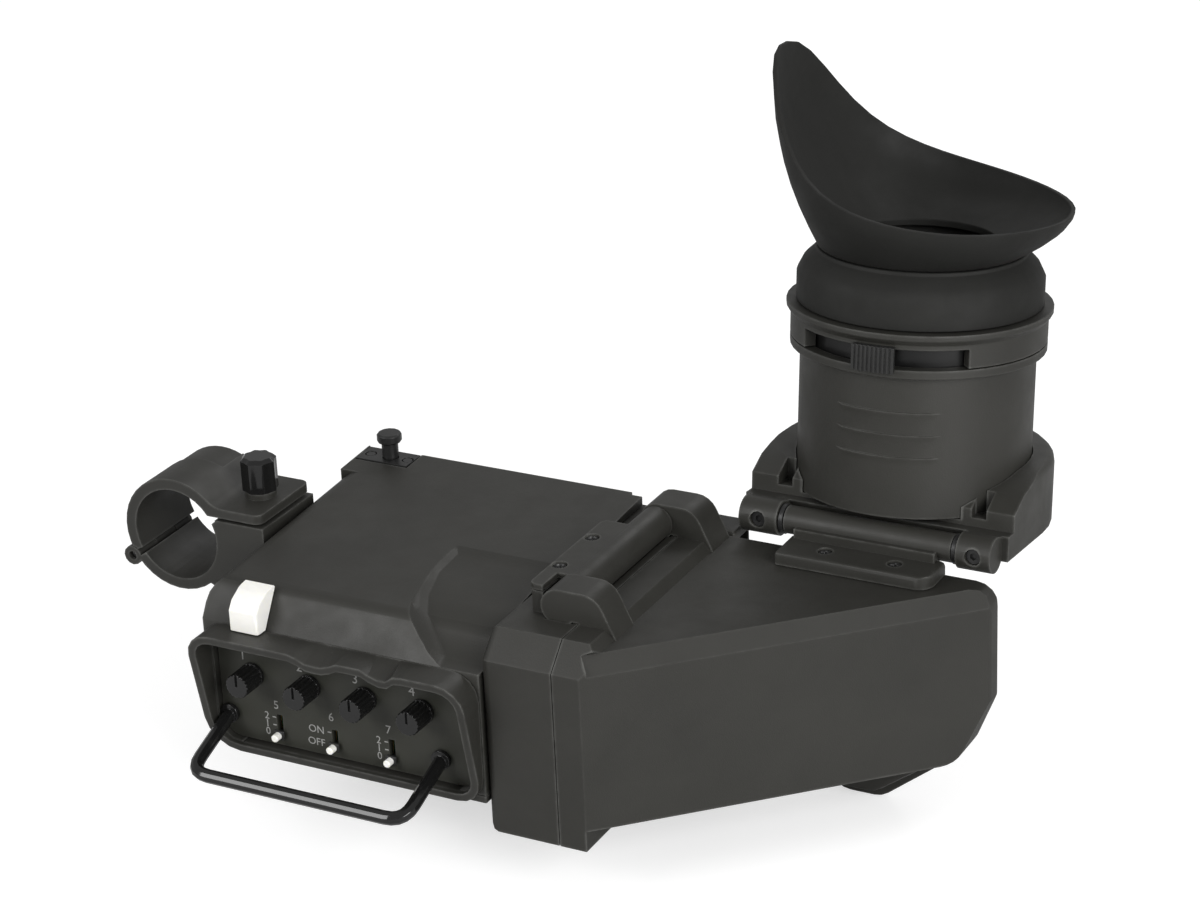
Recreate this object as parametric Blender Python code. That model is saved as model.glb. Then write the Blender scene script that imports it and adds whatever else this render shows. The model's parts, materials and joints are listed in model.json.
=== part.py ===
"""Electronic viewfinder for a field or studio camera.

A control box carries a flat display behind a hinged mirror housing.
The housing carries a hinged eyepiece with a focusing lens and a rubber eyecup.
Lengths are in metres, X to the right, Y to the back and Z up.
"""
import math

import bmesh
import bpy
from mathutils import Matrix, Vector

MM = 0.001
DEG = math.pi / 180

# Clearances, and how finely round forms are cut
GAP = 0.3 * MM
OVERRUN = 2.0 * MM
MERGE = 0.003 * MM
SCREW_CLEARANCE = 0.3 * MM
BIG_SIDES = 48
ROUND_SIDES = 24
SMALL_SIDES = 12
SHARP_ANGLE = 20 * DEG
SMOOTH_ANGLE = 35 * DEG
CORNER_STEPS = 4

# Screen housing, the upright slab that holds the display
SLAB_LEFT = -3.0 * MM
SLAB_THICK = 22.0 * MM
SLAB_DEPTH = 92.0 * MM
SLAB_HEIGHT = 60.0 * MM
SLAB_SLOPE = 7.3 * MM
SLAB_ROUND = 3.0 * MM
SCREEN_BACK_WALL = 11.2 * MM
SCREEN_POCKET_EDGE = 5.0 * MM
SCREEN_POCKET_ROOF = 7.0 * MM
SCREEN_BOARD_THICK = 1.5 * MM
BACKLIGHT_THICK = 4.0 * MM
LCD_THICK = 2.2 * MM
BEZEL_THICK = 1.6 * MM
BEZEL_BORDER_SIDE = 3.4 * MM
BEZEL_BORDER_TOP = 2.6 * MM
SLAB_RIGHT = SLAB_LEFT + SLAB_THICK
SCREEN_FLOOR = SLAB_LEFT + SCREEN_BACK_WALL
SCREEN_TOP = SLAB_HEIGHT - SCREEN_POCKET_ROOF

# Mirror hinge, whose axis runs along Y above the parting line
FLIP_INSET = 5.8 * MM
FLIP_RISE = 3.8 * MM
FLIP_BARREL_RADIUS = 4.9 * MM
FLIP_EAR_RADIUS = 5.4 * MM
FLIP_PIN_RADIUS = 1.9 * MM
FLIP_PIN_BORE = 2.2 * MM
FLIP_PIN_COVER = 2.4 * MM
FLIP_RELIEF = 0.45 * MM
FLIP_FRONT_EAR = 16.3 * MM
FLIP_EAR_WIDTH = 11.0 * MM
FLIP_EAR_INSET = 5.0 * MM
EAR_TOP_RUN = 11.6 * MM
EAR_FOOT_RUN = 3.0 * MM
EAR_ROUND = 6.5 * MM
LEAF_INSET = 6.0 * MM
LEAF_EDGE_INSET = 2.5 * MM
LEAF_FRONT = 18.8 * MM
LEAF_BACK_INSET = 13.1 * MM
LEAF_RISE = 8.4 * MM
LEAF_THICK = 1.7 * MM
LEAF_ROUND = 2.0 * MM
LEAF_SCREW_INSET = 2.6 * MM
LEAF_SCREW_SHARES = (0.3, 0.735)
HINGE_SCREW_RADIUS = 1.9 * MM
HINGE_SCREW_SUNK = 0.5 * MM
HINGE_SCREW_LENGTH = 5.0 * MM
FLIP_X = SLAB_RIGHT - FLIP_INSET
FLIP_Z = SLAB_HEIGHT + FLIP_RISE
FLIP_BARREL_FRONT = FLIP_FRONT_EAR + FLIP_EAR_WIDTH
FLIP_BACK_EAR_END = SLAB_DEPTH - FLIP_EAR_INSET
FLIP_BARREL_BACK = FLIP_BACK_EAR_END - FLIP_EAR_WIDTH - GAP
LEAF_LEFT = SLAB_LEFT + LEAF_INSET
LEAF_RIGHT = FLIP_X - LEAF_EDGE_INSET
LEAF_BACK = FLIP_BARREL_BACK - LEAF_BACK_INSET
LEAF_TOP = SLAB_HEIGHT + LEAF_RISE
LEAF_SCREW_X = LEAF_LEFT + LEAF_SCREW_INSET
LEAF_SCREWS = tuple(LEAF_FRONT + share * (LEAF_BACK - LEAF_FRONT) for share in LEAF_SCREW_SHARES)
EAR_NOTCH_LEFT = FLIP_X - FLIP_EAR_RADIUS - FLIP_RELIEF

# Tube, collar and focusing ring, along the eyepiece's optical axis
TUBE_RADIUS = 33.5 * MM
TUBE_WALL = 3.0 * MM
TUBE_BOTTOM = 6.0 * MM
TUBE_TALL = 41.0 * MM
TUBE_LEDGE_WIDTH = 3.5 * MM
TUBE_LEDGE_RISE = 5.0 * MM
TUBE_LEDGE_THICK = 2.0 * MM
RIB_DROPS = (10.0 * MM, 16.5 * MM, 23.0 * MM)
RIB_FALL = 3.6 * MM
RIB_PROUD = 0.45 * MM
RIB_ROOT = 0.8 * MM
RIB_START = -112.5 * DEG
RIB_END = -52.5 * DEG
RIB_STEPS = 8
COLLAR_PROUD = 2.9 * MM
COLLAR_STEP = 0.8 * MM
COLLAR_RING_TALL = 2.7 * MM
COLLAR_RISE = 13.3 * MM
COLLAR_LIP_WIDTH = 3.1 * MM
COLLAR_LIP_THICK = 1.5 * MM
BRIM_PROUD = 1.3 * MM
BRIM_TALL = 1.6 * MM
FOCUS_SLOT_HALF = 41.5 * DEG
FOCUS_SLOT_TALL = 5.4 * MM
FOCUS_REST = -87.0 * DEG
FOCUS_RING_WALL = 3.1 * MM
FOCUS_RING_ROOM = 2.3 * MM
RUNNING_CLEARANCE = 0.4 * MM
FOCUS_STEM_WIDTH = 6.0 * MM
FOCUS_STEM_TALL = 4.2 * MM
FOCUS_LEVER_WIDTH = 11.6 * MM
FOCUS_LEVER_TALL = 7.4 * MM
FOCUS_LEVER_THICK = 2.2 * MM
FOCUS_LEVER_RIBS = 9
FOCUS_LEVER_RIB_DEPTH = 0.45 * MM
FOCUS_GRIP_SHARE = 0.92
FOCUS_GROOVE_SHARE = 0.45
CELL_WALL = 3.2 * MM
CELL_SEAT_WIDTH = 2.6 * MM
CELL_RISE = 2.5 * MM
CELL_SEAT_TALL = 2.0 * MM
CELL_TALL = 11.0 * MM
EYE_LENS_EDGE = 2.4 * MM
EYE_LENS_CROWN = 2.2 * MM
FIELD_LENS_EDGE = 2.6 * MM
FIELD_LENS_CROWN = 2.4 * MM
LENS_STEPS = 3
RETAINER_TALL = 1.6 * MM
RETAINER_WIDTH = 2.0 * MM
TUBE_INNER = TUBE_RADIUS - TUBE_WALL
TUBE_TOP = TUBE_BOTTOM + TUBE_TALL
TUBE_LEDGE_LOW = TUBE_BOTTOM + TUBE_LEDGE_RISE
TUBE_LEDGE_HIGH = TUBE_LEDGE_LOW + TUBE_LEDGE_THICK
COLLAR_RADIUS = TUBE_RADIUS + COLLAR_PROUD
COLLAR_INNER = TUBE_RADIUS - COLLAR_STEP
COLLAR_TOP = TUBE_TOP + COLLAR_RISE
BRIM_RADIUS = COLLAR_RADIUS + BRIM_PROUD
FOCUS_RING_RADIUS = COLLAR_INNER - RUNNING_CLEARANCE
FOCUS_RING_INNER = FOCUS_RING_RADIUS - FOCUS_RING_WALL
FOCUS_RING_TOP = COLLAR_TOP - FOCUS_RING_ROOM
CELL_RADIUS = FOCUS_RING_INNER - RUNNING_CLEARANCE
CELL_INNER = CELL_RADIUS - CELL_WALL
CELL_SEAT_INNER = CELL_INNER - CELL_SEAT_WIDTH
CELL_LOW = TUBE_TOP + CELL_RISE
EYE_LENS_RADIUS = CELL_INNER - RUNNING_CLEARANCE
FIELD_LENS_RADIUS = TUBE_INNER - RUNNING_CLEARANCE

# Rubber neck and eyecup
NECK_PROUD = 1.5 * MM
NECK_WALL = 3.4 * MM
NECK_TALL = 9.7 * MM
NECK_SHOULDER_TALL = 5.9 * MM
NECK_TAPER = 5.2 * MM
NECK_TOP_WIDTH = 5.3 * MM
CUP_BASE_INSET = 0.4 * MM
CUP_HOLE_WIDTH = 3.5 * MM
CUP_HOLE_LIP = 2.0 * MM
CUP_RIM_RISE = 10.9 * MM
CUP_RIM_REACH = 6.8 * MM
CUP_RIM_THICK = 1.3 * MM
CUP_POINT_REACH = 1.9 * MM
CUP_POINT_ANGLE = 20.0 * DEG
CUP_POINT_SPREAD = 30.0 * DEG
CUP_WING_RISE = 43.0 * MM
CUP_WING_REACH = 3.2 * MM
CUP_WING_ANGLE = -177.0 * DEG
CUP_WING_SPREAD = 42.0 * DEG
CUP_WING_POWER = 2.6
CUP_OUTER_POWER = 1.7
CUP_INNER_POWER = 2.0
CUP_AROUND = 48
CUP_STEPS = 6
NECK_RADIUS = TUBE_RADIUS + NECK_PROUD
NECK_SHOULDER = COLLAR_TOP + NECK_TALL
NECK_TOP = NECK_SHOULDER + NECK_SHOULDER_TALL
NECK_TOP_RADIUS = NECK_RADIUS - NECK_TAPER
NECK_TOP_INNER = NECK_TOP_RADIUS - NECK_TOP_WIDTH
CUP_BASE_RADIUS = NECK_TOP_RADIUS - CUP_BASE_INSET
CUP_HOLE_RADIUS = NECK_TOP_INNER - CUP_HOLE_WIDTH
CUP_RIM_LOW = NECK_TOP + CUP_RIM_RISE
CUP_RIM_RADIUS = TUBE_RADIUS + CUP_RIM_REACH

# Eyepiece base, in the eyepiece's own frame, whose V runs back from the hinge and W up the tube
BASE_SIDE_WALL = 6.5 * MM
TUBE_OVERHANG = 2.0 * MM
BASE_BOTTOM = -3.0 * MM
BASE_TOP = 17.0 * MM
BASE_FRONT = -2.6 * MM
BASE_FLANK_V = 4.0 * MM
BASE_LEDGE = 4.4 * MM
BASE_FOOT_V = 7.8 * MM
BASE_FOOT_HIGH = 9.4 * MM
BASE_SHELF_V = 14.0 * MM
BASE_SHELF_HIGH = 13.1 * MM
BASE_SHOULDER_V = 26.6 * MM
BASE_SHOULDER_HIGH = 16.3 * MM
BASE_TOP_V = 39.0 * MM
BASE_END_STEPS = 20
BASE_EDGE = 2.5 * MM
BASE_WINDOW_BEFORE = 18.0 * MM
BASE_WINDOW_BEHIND = 20.0 * MM
BASE_WINDOW_ROUND = 6.0 * MM
NOTCH_WIDTH = 4.4 * MM
NOTCH_RUN = 6.5 * MM
NOTCH_FLOOR = 6.9 * MM
NOTCH_FROM_SIDE = 10.5 * MM
BARREL_ROOM = 1.5 * MM
BASE_HALF_WIDTH = TUBE_RADIUS + BASE_SIDE_WALL
AXIS_V = TUBE_RADIUS - TUBE_OVERHANG

# Mirror housing, a wedge that turns the picture from the display to the eyepiece
FLANGE_THICK = 8.2 * MM
BASE_FROM_FLANGE = 4.5 * MM
HOUSING_BACK_INSET = 4.4 * MM
HOUSING_END_FLAT = 6.1 * MM
HOUSING_BOTTOM = 6.2 * MM
HOUSING_TOP_DROP = 2.7 * MM
HOUSING_EDGE = 4.5 * MM
HOUSING_END_DROP = 6.6 * MM
HOUSING_FOOT_RUN = 7.4 * MM
HOUSING_FOOT_RISE = 18.0 * MM
HOUSING_END_ROUND = 5.0 * MM
PLATFORM_RUN = 2.5 * MM
CHAMBER_FLOOR = 2.6 * MM
CHAMBER_ROOF = 4.3 * MM
CHAMBER_FRONT = 3.0 * MM
CHAMBER_END_WALL = 11.3 * MM
FRONT_WALL = 2.6 * MM
MIRROR_THICK = 2.5 * MM
MIRROR_START = 9.0 * MM
MIRROR_END_ROOM = 22.0 * MM
MIRROR_EDGE = 1.2 * MM
CLIP_WIDTH = 3.2 * MM
CLIP_HEIGHT = 14.0 * MM
CLIP_THICK = 1.6 * MM
LATCH_INSET = 0.5 * MM
LATCH_WIDTH = 11.8 * MM
LATCH_DEPTH = 11.0 * MM
LATCH_TALL = 12.4 * MM
LATCH_RISE = 1.1 * MM
LATCH_SLOT_DEPTH = 3.5 * MM
LATCH_SLOT_HEIGHT = 3.0 * MM
LATCH_SLOT_DROP = 3.2 * MM
LATCH_EDGE = 1.6 * MM
FLANGE_LEFT = SLAB_RIGHT + GAP
FLANGE_RIGHT = FLANGE_LEFT + FLANGE_THICK
AXIS_X = FLANGE_RIGHT + BASE_FROM_FLANGE + BASE_HALF_WIDTH
HOUSING_RIGHT = AXIS_X + BASE_HALF_WIDTH + GAP
HOUSING_BACK = SLAB_DEPTH - HOUSING_BACK_INSET
HOUSING_SKEW_END = HOUSING_BACK - HOUSING_END_FLAT
HOUSING_TOP = SLAB_HEIGHT - HOUSING_TOP_DROP
CHAMBER_BOTTOM = HOUSING_BOTTOM + CHAMBER_FLOOR
CHAMBER_TOP = HOUSING_TOP - CHAMBER_ROOF
CHAMBER_BACK = HOUSING_SKEW_END
CHAMBER_RIGHT = HOUSING_RIGHT - CHAMBER_END_WALL
LATCH_LEFT = FLANGE_LEFT + LATCH_INSET
LATCH_RIGHT = LATCH_LEFT + LATCH_WIDTH
LATCH_TOP = HOUSING_TOP + LATCH_RISE

# Rear frame, which the closed eyepiece seats on
FRAME_THICK = 3.2 * MM
FRAME_SIDE_INSET = 2.0 * MM
FRAME_ARC_STEPS = 2
FRAME_TOP_DROP = 2.9 * MM
FRAME_DROP = 21.7 * MM
FRAME_KNEE_DROP = 7.6 * MM
FRAME_HIP_RISE = 5.8 * MM
FRAME_SIDE_RISE = 16.8 * MM
FRAME_FLAT_SHARE = 0.16
FRAME_KNEE_SHARE = 0.63
FRAME_HIP_SHARE = 0.88
FRAME_ROUND = 7.0 * MM
FRAME_TOP_ROUND = 4.0 * MM
FRAME_BULGE_DEPTH = 9.5 * MM
FRAME_BULGE_INSET = 4.0 * MM
FRAME_BULGE_EDGE = 2.0 * MM
WINDOW_SIDE = 10.0 * MM
WINDOW_SILL = 6.3 * MM
WINDOW_HEAD = 3.4 * MM
WINDOW_ROUND = 6.0 * MM
FRAME_TOP = HOUSING_TOP - FRAME_TOP_DROP
FRAME_HALF_WIDTH = BASE_HALF_WIDTH - FRAME_SIDE_INSET
WINDOW_HALF_WIDTH = FRAME_HALF_WIDTH - WINDOW_SIDE
WINDOW_BOTTOM = HOUSING_BOTTOM + WINDOW_SILL
WINDOW_TOP = FRAME_TOP - WINDOW_HEAD

# Eyepiece hinge, whose axis runs along X at the back of the housing
TURN_BEHIND = 3.4 * MM
TURN_RISE = 6.9 * MM
TURN_TILT = 6.0 * DEG
TURN_BARREL_RADIUS = 4.1 * MM
TURN_PIN_RADIUS = 1.7 * MM
TURN_PIN_BORE = 2.0 * MM
TURN_PIN_COVER = 2.4 * MM
KNUCKLE_RADIUS = 5.2 * MM
KNUCKLE_INSET = 2.0 * MM
KNUCKLE_LEFT_WIDTH = 11.6 * MM
KNUCKLE_RIGHT_WIDTH = 10.2 * MM
WASHER_RADIUS = 4.4 * MM
WASHER_THICK = 1.2 * MM
HINGE_PLATE_LEFT_INSET = 2.4 * MM
HINGE_PLATE_RIGHT_INSET = 1.5 * MM
HINGE_PLATE_DEPTH = 12.6 * MM
HINGE_PLATE_THICK = 3.8 * MM
HINGE_PLATE_EDGE = 1.2 * MM
HINGE_WEB_DROP = 3.9 * MM
HINGE_WEB_INSET = 4.0 * MM
HINGE_PLATE_SCREW_OFFSETS = (-9.0 * MM, 12.0 * MM)
HINGE_PLATE_SCREW_INSET = 6.6 * MM
SET_HOLE_RADIUS = 2.4 * MM
TURN_Y = HOUSING_BACK + TURN_BEHIND
TURN_Z = HOUSING_TOP + TURN_RISE
KNUCKLE_LEFT = AXIS_X - BASE_HALF_WIDTH + KNUCKLE_INSET
KNUCKLE_LEFT_END = KNUCKLE_LEFT + KNUCKLE_LEFT_WIDTH
KNUCKLE_RIGHT = AXIS_X + BASE_HALF_WIDTH - KNUCKLE_INSET
KNUCKLE_RIGHT_START = KNUCKLE_RIGHT - KNUCKLE_RIGHT_WIDTH
TURN_BARREL_LEFT = KNUCKLE_LEFT_END + WASHER_THICK + 2 * GAP
TURN_BARREL_RIGHT = KNUCKLE_RIGHT_START - WASHER_THICK - 2 * GAP
HINGE_PLATE_LEFT = TURN_BARREL_LEFT + HINGE_PLATE_LEFT_INSET
HINGE_PLATE_RIGHT = TURN_BARREL_RIGHT - HINGE_PLATE_RIGHT_INSET
HINGE_PLATE_SCREW_Y = HOUSING_BACK - HINGE_PLATE_SCREW_INSET
HINGE_PLATE_SCREWS = tuple(AXIS_X + offset for offset in HINGE_PLATE_SCREW_OFFSETS)

# Control box
BOX_WIDTH = 89.5 * MM
BOX_FLOOR = 8.0 * MM
BOX_OVERHANG = 0.5 * MM
BOX_FRONT_DROP = 12.2 * MM
BOX_CREST_DROP = 1.5 * MM
BOX_CREST_Y = 6.5 * MM
BOX_CREST_ROUND = 6.0 * MM
BOX_BACK_RISE = 3.1 * MM
BOX_WALL = 2.5 * MM
BOX_BOTTOM_ROUND = 10.0 * MM
BOX_TOP_ROUND = 6.5 * MM
BOX_BLOCK_DEPTH = 16.5 * MM
LIP_WIDTH = 4.0 * MM
LIP_FRONT = 50.0 * MM
LIP_BACK_INSET = 1.5 * MM
COVER_THICK = 2.2 * MM
COVER_FRONT = 8.0 * MM
COVER_SCREW_INSET = 4.2 * MM
COVER_SCREW_RADIUS = 2.2 * MM
COVER_SCREW_SUNK = 0.5 * MM
OPENING_DROP = 3.0 * MM
OPENING_ROUND = 6.0 * MM
CAVITY_DROP = 13.1 * MM
CAVITY_BACK_WALL = 3.0 * MM
BOX_RIGHT = SLAB_LEFT - GAP
BOX_LEFT = BOX_RIGHT - BOX_WIDTH
BOX_BACK = SLAB_DEPTH + BOX_OVERHANG
BOX_FRONT_TOP = SLAB_HEIGHT - BOX_FRONT_DROP
BOX_CREST_Z = SLAB_HEIGHT - BOX_CREST_DROP
BOX_BACK_TOP = SLAB_HEIGHT + BOX_BACK_RISE
BOX_TOP_SLOPE = (BOX_BACK_TOP - BOX_CREST_Z) / (BOX_BACK - BOX_CREST_Y)
LIP_RIGHT = BOX_RIGHT + LIP_WIDTH
COVER_LEFT = BOX_LEFT + BOX_BOTTOM_ROUND
LIP_BACK = BOX_BACK - LIP_BACK_INSET
CAVITY_TOP = BOX_BACK_TOP - CAVITY_DROP
OPENING_LEFT = BOX_LEFT + BOX_WALL
OPENING_RIGHT = BOX_RIGHT - BOX_WALL
OPENING_BOTTOM = BOX_FLOOR + COVER_THICK + GAP
OPENING_TOP = BOX_FRONT_TOP - OPENING_DROP

# Scoop in the box's top: place along Y, drop below the slab's top, width from the box's right side
SCOOP_SECTIONS = (
    (-2.0 * MM, 12.2 * MM, 23.7 * MM),
    (5.7 * MM, 12.0 * MM, 25.2 * MM),
    (11.3 * MM, 7.1 * MM, 27.2 * MM),
    (13.5 * MM, 4.5 * MM, 28.2 * MM),
    (20.6 * MM, 2.7 * MM, 30.7 * MM),
    (32.0 * MM, 1.3 * MM, 33.0 * MM),
    (43.5 * MM, 0.8 * MM, 33.7 * MM),
    (46.5 * MM, -0.9 * MM, 34.2 * MM),
)
SCOOP_SOFT = 4.0 * MM
SCOOP_WALL_STEPS = 5

# Hood round the control panel
HOOD_WALL = 2.4 * MM
HOOD_TOP_REACH = 10.0 * MM
HOOD_BOTTOM_REACH = 5.0 * MM
HOOD_ROUND = 8.0 * MM
HOOD_WAVES = ((0.475, 5.6 * MM), (0.71, 3.9 * MM))
HOOD_WAVE_DEPTH = 2.6 * MM
HOOD_WAVE_POWER = 4
HOOD_TOP_STEPS = 28

# Control panel with its knobs and switches
PANEL_FACE = 2.0 * MM
PANEL_THICK = 2.0 * MM
KNOB_PLACE_SHARES = (0.16, 0.37, 0.575, 0.78)
KNOB_HEIGHT_SHARE = 0.603
KNOB_RADIUS = 3.7 * MM
KNOB_LENGTH = 8.6 * MM
KNOB_EDGE = 0.5 * MM
KNOB_SLOT_WIDTH = 0.8 * MM
KNOB_SLOT_DEPTH = 0.6 * MM
KNOB_SHAFT_RADIUS = 1.5 * MM
KNOB_SHAFT_REACH = 9.0 * MM
DIAL_SIZE = 9.5 * MM
DIAL_DEPTH = 8.2 * MM
SWITCH_PLACE_SHARES = (0.244, 0.448, 0.657)
SWITCH_TRAVELS = (5.0 * MM, 4.0 * MM, 5.0 * MM)
SWITCH_HEIGHT_SHARE = 0.161
SWITCH_TAB_WIDTH = 3.4 * MM
SWITCH_TAB_TALL = 2.8 * MM
SWITCH_TAB_THICK = 1.1 * MM
SWITCH_TIP_RADIUS = 1.15 * MM
SWITCH_TIP_REACH = 3.4 * MM
SWITCH_STEM = 1.3 * MM
SWITCH_STEM_REACH = 4.6 * MM
SWITCH_BODY_WIDTH = 7.0 * MM
SWITCH_BODY_RISE = 3.6 * MM
BOARD_THICK = 1.6 * MM
BOARD_EDGE = 3.0 * MM

# Guard bar in front of the panel
BAR_RADIUS = 2.0 * MM
BAR_LEFT_INSET = 5.6 * MM
BAR_RIGHT_INSET = 14.3 * MM
BAR_ROOT_SHARE = 0.256
BAR_RAIL_SHARE = 0.05
BAR_REACH = 20.5 * MM
BAR_CORNER = 6.0 * MM
BAR_CORNER_STEPS = 5
BAR_BOSS_RADIUS = 2.9 * MM
BAR_BOSS_THICK = 1.4 * MM
PANEL_HEIGHT = BOX_FRONT_TOP - BOX_FLOOR
KNOB_PLACES = tuple(BOX_LEFT + share * BOX_WIDTH for share in KNOB_PLACE_SHARES)
KNOB_Z = BOX_FLOOR + KNOB_HEIGHT_SHARE * PANEL_HEIGHT
SWITCH_PLACES = tuple(BOX_LEFT + share * BOX_WIDTH for share in SWITCH_PLACE_SHARES)
SWITCH_Z = BOX_FLOOR + SWITCH_HEIGHT_SHARE * PANEL_HEIGHT
BAR_LEFT = BOX_LEFT + BAR_LEFT_INSET
BAR_RIGHT = BOX_RIGHT - BAR_RIGHT_INSET
BAR_ROOT_Z = BOX_FLOOR + BAR_ROOT_SHARE * PANEL_HEIGHT
BAR_RAIL_Z = BOX_FLOOR + BAR_RAIL_SHARE * PANEL_HEIGHT

# Tally lamp on the hood
TALLY_INSET = 11.8 * MM
TALLY_WIDTH = 9.5 * MM
TALLY_REACH = 4.0 * MM
TALLY_FACE_RISE = 6.5 * MM
TALLY_BROW = (-2.2 * MM, 9.1 * MM)
TALLY_CROWN = (1.2 * MM, 10.9 * MM)
TALLY_EDGE = 0.8 * MM
TALLY_LEFT = BOX_LEFT + TALLY_INSET
TALLY_RIGHT = TALLY_LEFT + TALLY_WIDTH

# Camera slide channel in the back of the box
SLIDE_LEFT_INSET = 2.8 * MM
SLIDE_RIGHT_INSET = 2.7 * MM
SLIDE_DEEP = 8.5 * MM
SLIDE_BACK_WALL = 2.5 * MM
SLIDE_LIP_THICK = 2.9 * MM
SLIDE_TOP_DROP = 8.6 * MM
SLIDE_TALL = 23.0 * MM
SLIDE_EDGE = 3.5 * MM
SLIDE_MOUTH_EDGE = 3.6 * MM
SLIDE_SCREW_SHARES = (0.143, 0.857)
SLIDE_SCREW_RADIUS = 2.4 * MM
SLIDE_SCREW_LENGTH = 4.6 * MM
SLIDE_SCREW_SUNK = 0.4 * MM
SLIDE_LEFT = BOX_LEFT + SLIDE_LEFT_INSET
SLIDE_RIGHT = BOX_RIGHT - SLIDE_RIGHT_INSET
SLIDE_SCREW_PLACES = tuple(SLIDE_LEFT + share * (SLIDE_RIGHT - SLIDE_LEFT) for share in SLIDE_SCREW_SHARES)
SLIDE_FLOOR = BOX_BACK - SLIDE_DEEP
SLIDE_FRONT = SLIDE_FLOOR - SLIDE_BACK_WALL
SLIDE_LIP_FRONT = BOX_BACK - SLIDE_LIP_THICK
SLIDE_TOP = BOX_BACK_TOP - SLIDE_TOP_DROP
SLIDE_BOTTOM = SLIDE_TOP - SLIDE_TALL
SLIDE_GROOVE_BOTTOM = SLIDE_BOTTOM + SLIDE_EDGE
SLIDE_GROOVE_TOP = SLIDE_TOP - SLIDE_EDGE
SLIDE_MOUTH_BOTTOM = SLIDE_GROOVE_BOTTOM + SLIDE_MOUTH_EDGE
SLIDE_MOUTH_TOP = SLIDE_GROOVE_TOP - SLIDE_MOUTH_EDGE
CAVITY_BACK = SLIDE_FRONT - CAVITY_BACK_WALL

# Stop pin that keeps the viewfinder on the camera's rail
STOP_INSET = 10.4 * MM
STOP_FROM_FLOOR = 3.9 * MM
STOP_RADIUS = 2.2 * MM
STOP_TIP_SHARE = 0.7
STOP_NECK_RADIUS = 2.5 * MM
STOP_CAP_RADIUS = 3.75 * MM
STOP_CAP_THICK = 3.0 * MM
STOP_CAP_EDGE = 0.5 * MM
STOP_CAP_RISE = 9.4 * MM
STOP_TIP_DROP = 3.4 * MM
STOP_COLLAR_RADIUS = 3.7 * MM
STOP_COLLAR_THICK = 1.0 * MM
STOP_POCKET_RADIUS = 4.1 * MM
STOP_POCKET_RISE = 0.9 * MM
STOP_PLATE_INSET = 0.8 * MM
STOP_PLATE_WIDTH = 17.5 * MM
STOP_PLATE_DEPTH = 8.6 * MM
STOP_PLATE_THICK = 1.4 * MM
STOP_PLATE_PROUD = 0.2 * MM
STOP_SCREW_OFFSETS = (-6.9 * MM, 5.9 * MM)
STOP_SCREW_RADIUS = 1.5 * MM
STOP_SCREW_LENGTH = 2.4 * MM
SPRING_WIRE = 0.28 * MM
SPRING_RADIUS = 3.1 * MM
SPRING_TURNS = 3
SPRING_TURN_POINTS = 12
STOP_X = BOX_LEFT + STOP_INSET
STOP_Y = SLIDE_FLOOR + STOP_FROM_FLOOR
STOP_PLATE_LEFT = BOX_LEFT + STOP_PLATE_INSET
STOP_PLATE_RIGHT = STOP_PLATE_LEFT + STOP_PLATE_WIDTH
STOP_PLATE_BACK = BOX_BACK - GAP
STOP_PLATE_FRONT = STOP_PLATE_BACK - STOP_PLATE_DEPTH
STOP_PLATE_FLOOR = BOX_BACK_TOP + STOP_PLATE_PROUD - STOP_PLATE_THICK - GAP
STOP_CAP_TOP = STOP_PLATE_FLOOR + STOP_CAP_RISE
STOP_TIP = SLIDE_GROOVE_TOP - STOP_TIP_DROP
STOP_POCKET_FLOOR = SLIDE_TOP + STOP_POCKET_RISE

# Microphone holder on the left wall
MIC_FROM_WALL = 31.2 * MM
MIC_DROP = 9.6 * MM
MIC_INNER = 14.2 * MM
MIC_WALL = 3.4 * MM
MIC_RING_STEPS = 16
MIC_FRONT = 33.5 * MM
MIC_LENGTH = 27.3 * MM
MIC_SPLIT_RISE = 7.5 * MM
MIC_SLIT = 1.0 * MM
MIC_STEP = 0.5 * MM
MIC_STEP_SHARE = 0.6
MIC_STEP_START = 66
MIC_STEP_CLEAR = 14
MIC_TONGUE_THICK = 2.9 * MM
MIC_TONGUE_INSET = 1.1 * MM
MIC_TONGUE_ROUND = 2.5 * MM
MIC_TONGUE_FILLET = 8.0 * MM
MIC_PIVOT_ANGLE = 210.8
MIC_PIVOT_OUT = 1.73 * MM
MIC_PIVOT_RADIUS = 3.0 * MM
MIC_PIVOT_BORE = 1.4 * MM
MIC_PIN_RADIUS = 1.1 * MM
MIC_PIN_SUNK = 1.6 * MM
MIC_KNUCKLE = 8.6 * MM
MIC_BRACKET_DROP = 23.5 * MM
MIC_BRACKET_ANGLE = -55
CLAMP_FROM_WALL = 9.2 * MM
CLAMP_RADIUS = 5.4 * MM
CLAMP_TALL = 10.3 * MM
CLAMP_CHAMFER = 1.0 * MM
CLAMP_FLUTES = 8
CLAMP_FLUTE_POINTS = 4
CLAMP_FLUTE_DEPTH = 0.6 * MM
CLAMP_BOSS_RADIUS = 4.6 * MM
CLAMP_BOSS_TALL = 1.9 * MM
CLAMP_SCREW_RADIUS = 1.8 * MM
CLAMP_SCREW_BORE = 2.1 * MM
CLAMP_SCREW_REACH = 5.6 * MM
CLAMP_SLOT_RUN = 3.0 * MM
CLAMP_SLOT_DEPTH = 6.0 * MM
MIC_X = BOX_LEFT - MIC_FROM_WALL
MIC_Z = BOX_BACK_TOP - MIC_DROP
MIC_OUTER = MIC_INNER + MIC_WALL
MIC_BACK = MIC_FRONT + MIC_LENGTH
MIC_STEP_Y = MIC_FRONT + MIC_STEP_SHARE * MIC_LENGTH
MIC_SLIT_LOW = MIC_Z + MIC_SPLIT_RISE - MIC_SLIT / 2
MIC_SLIT_HIGH = MIC_SLIT_LOW + MIC_SLIT
MIC_TONGUE_TOP = MIC_SLIT_HIGH + MIC_TONGUE_THICK
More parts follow.
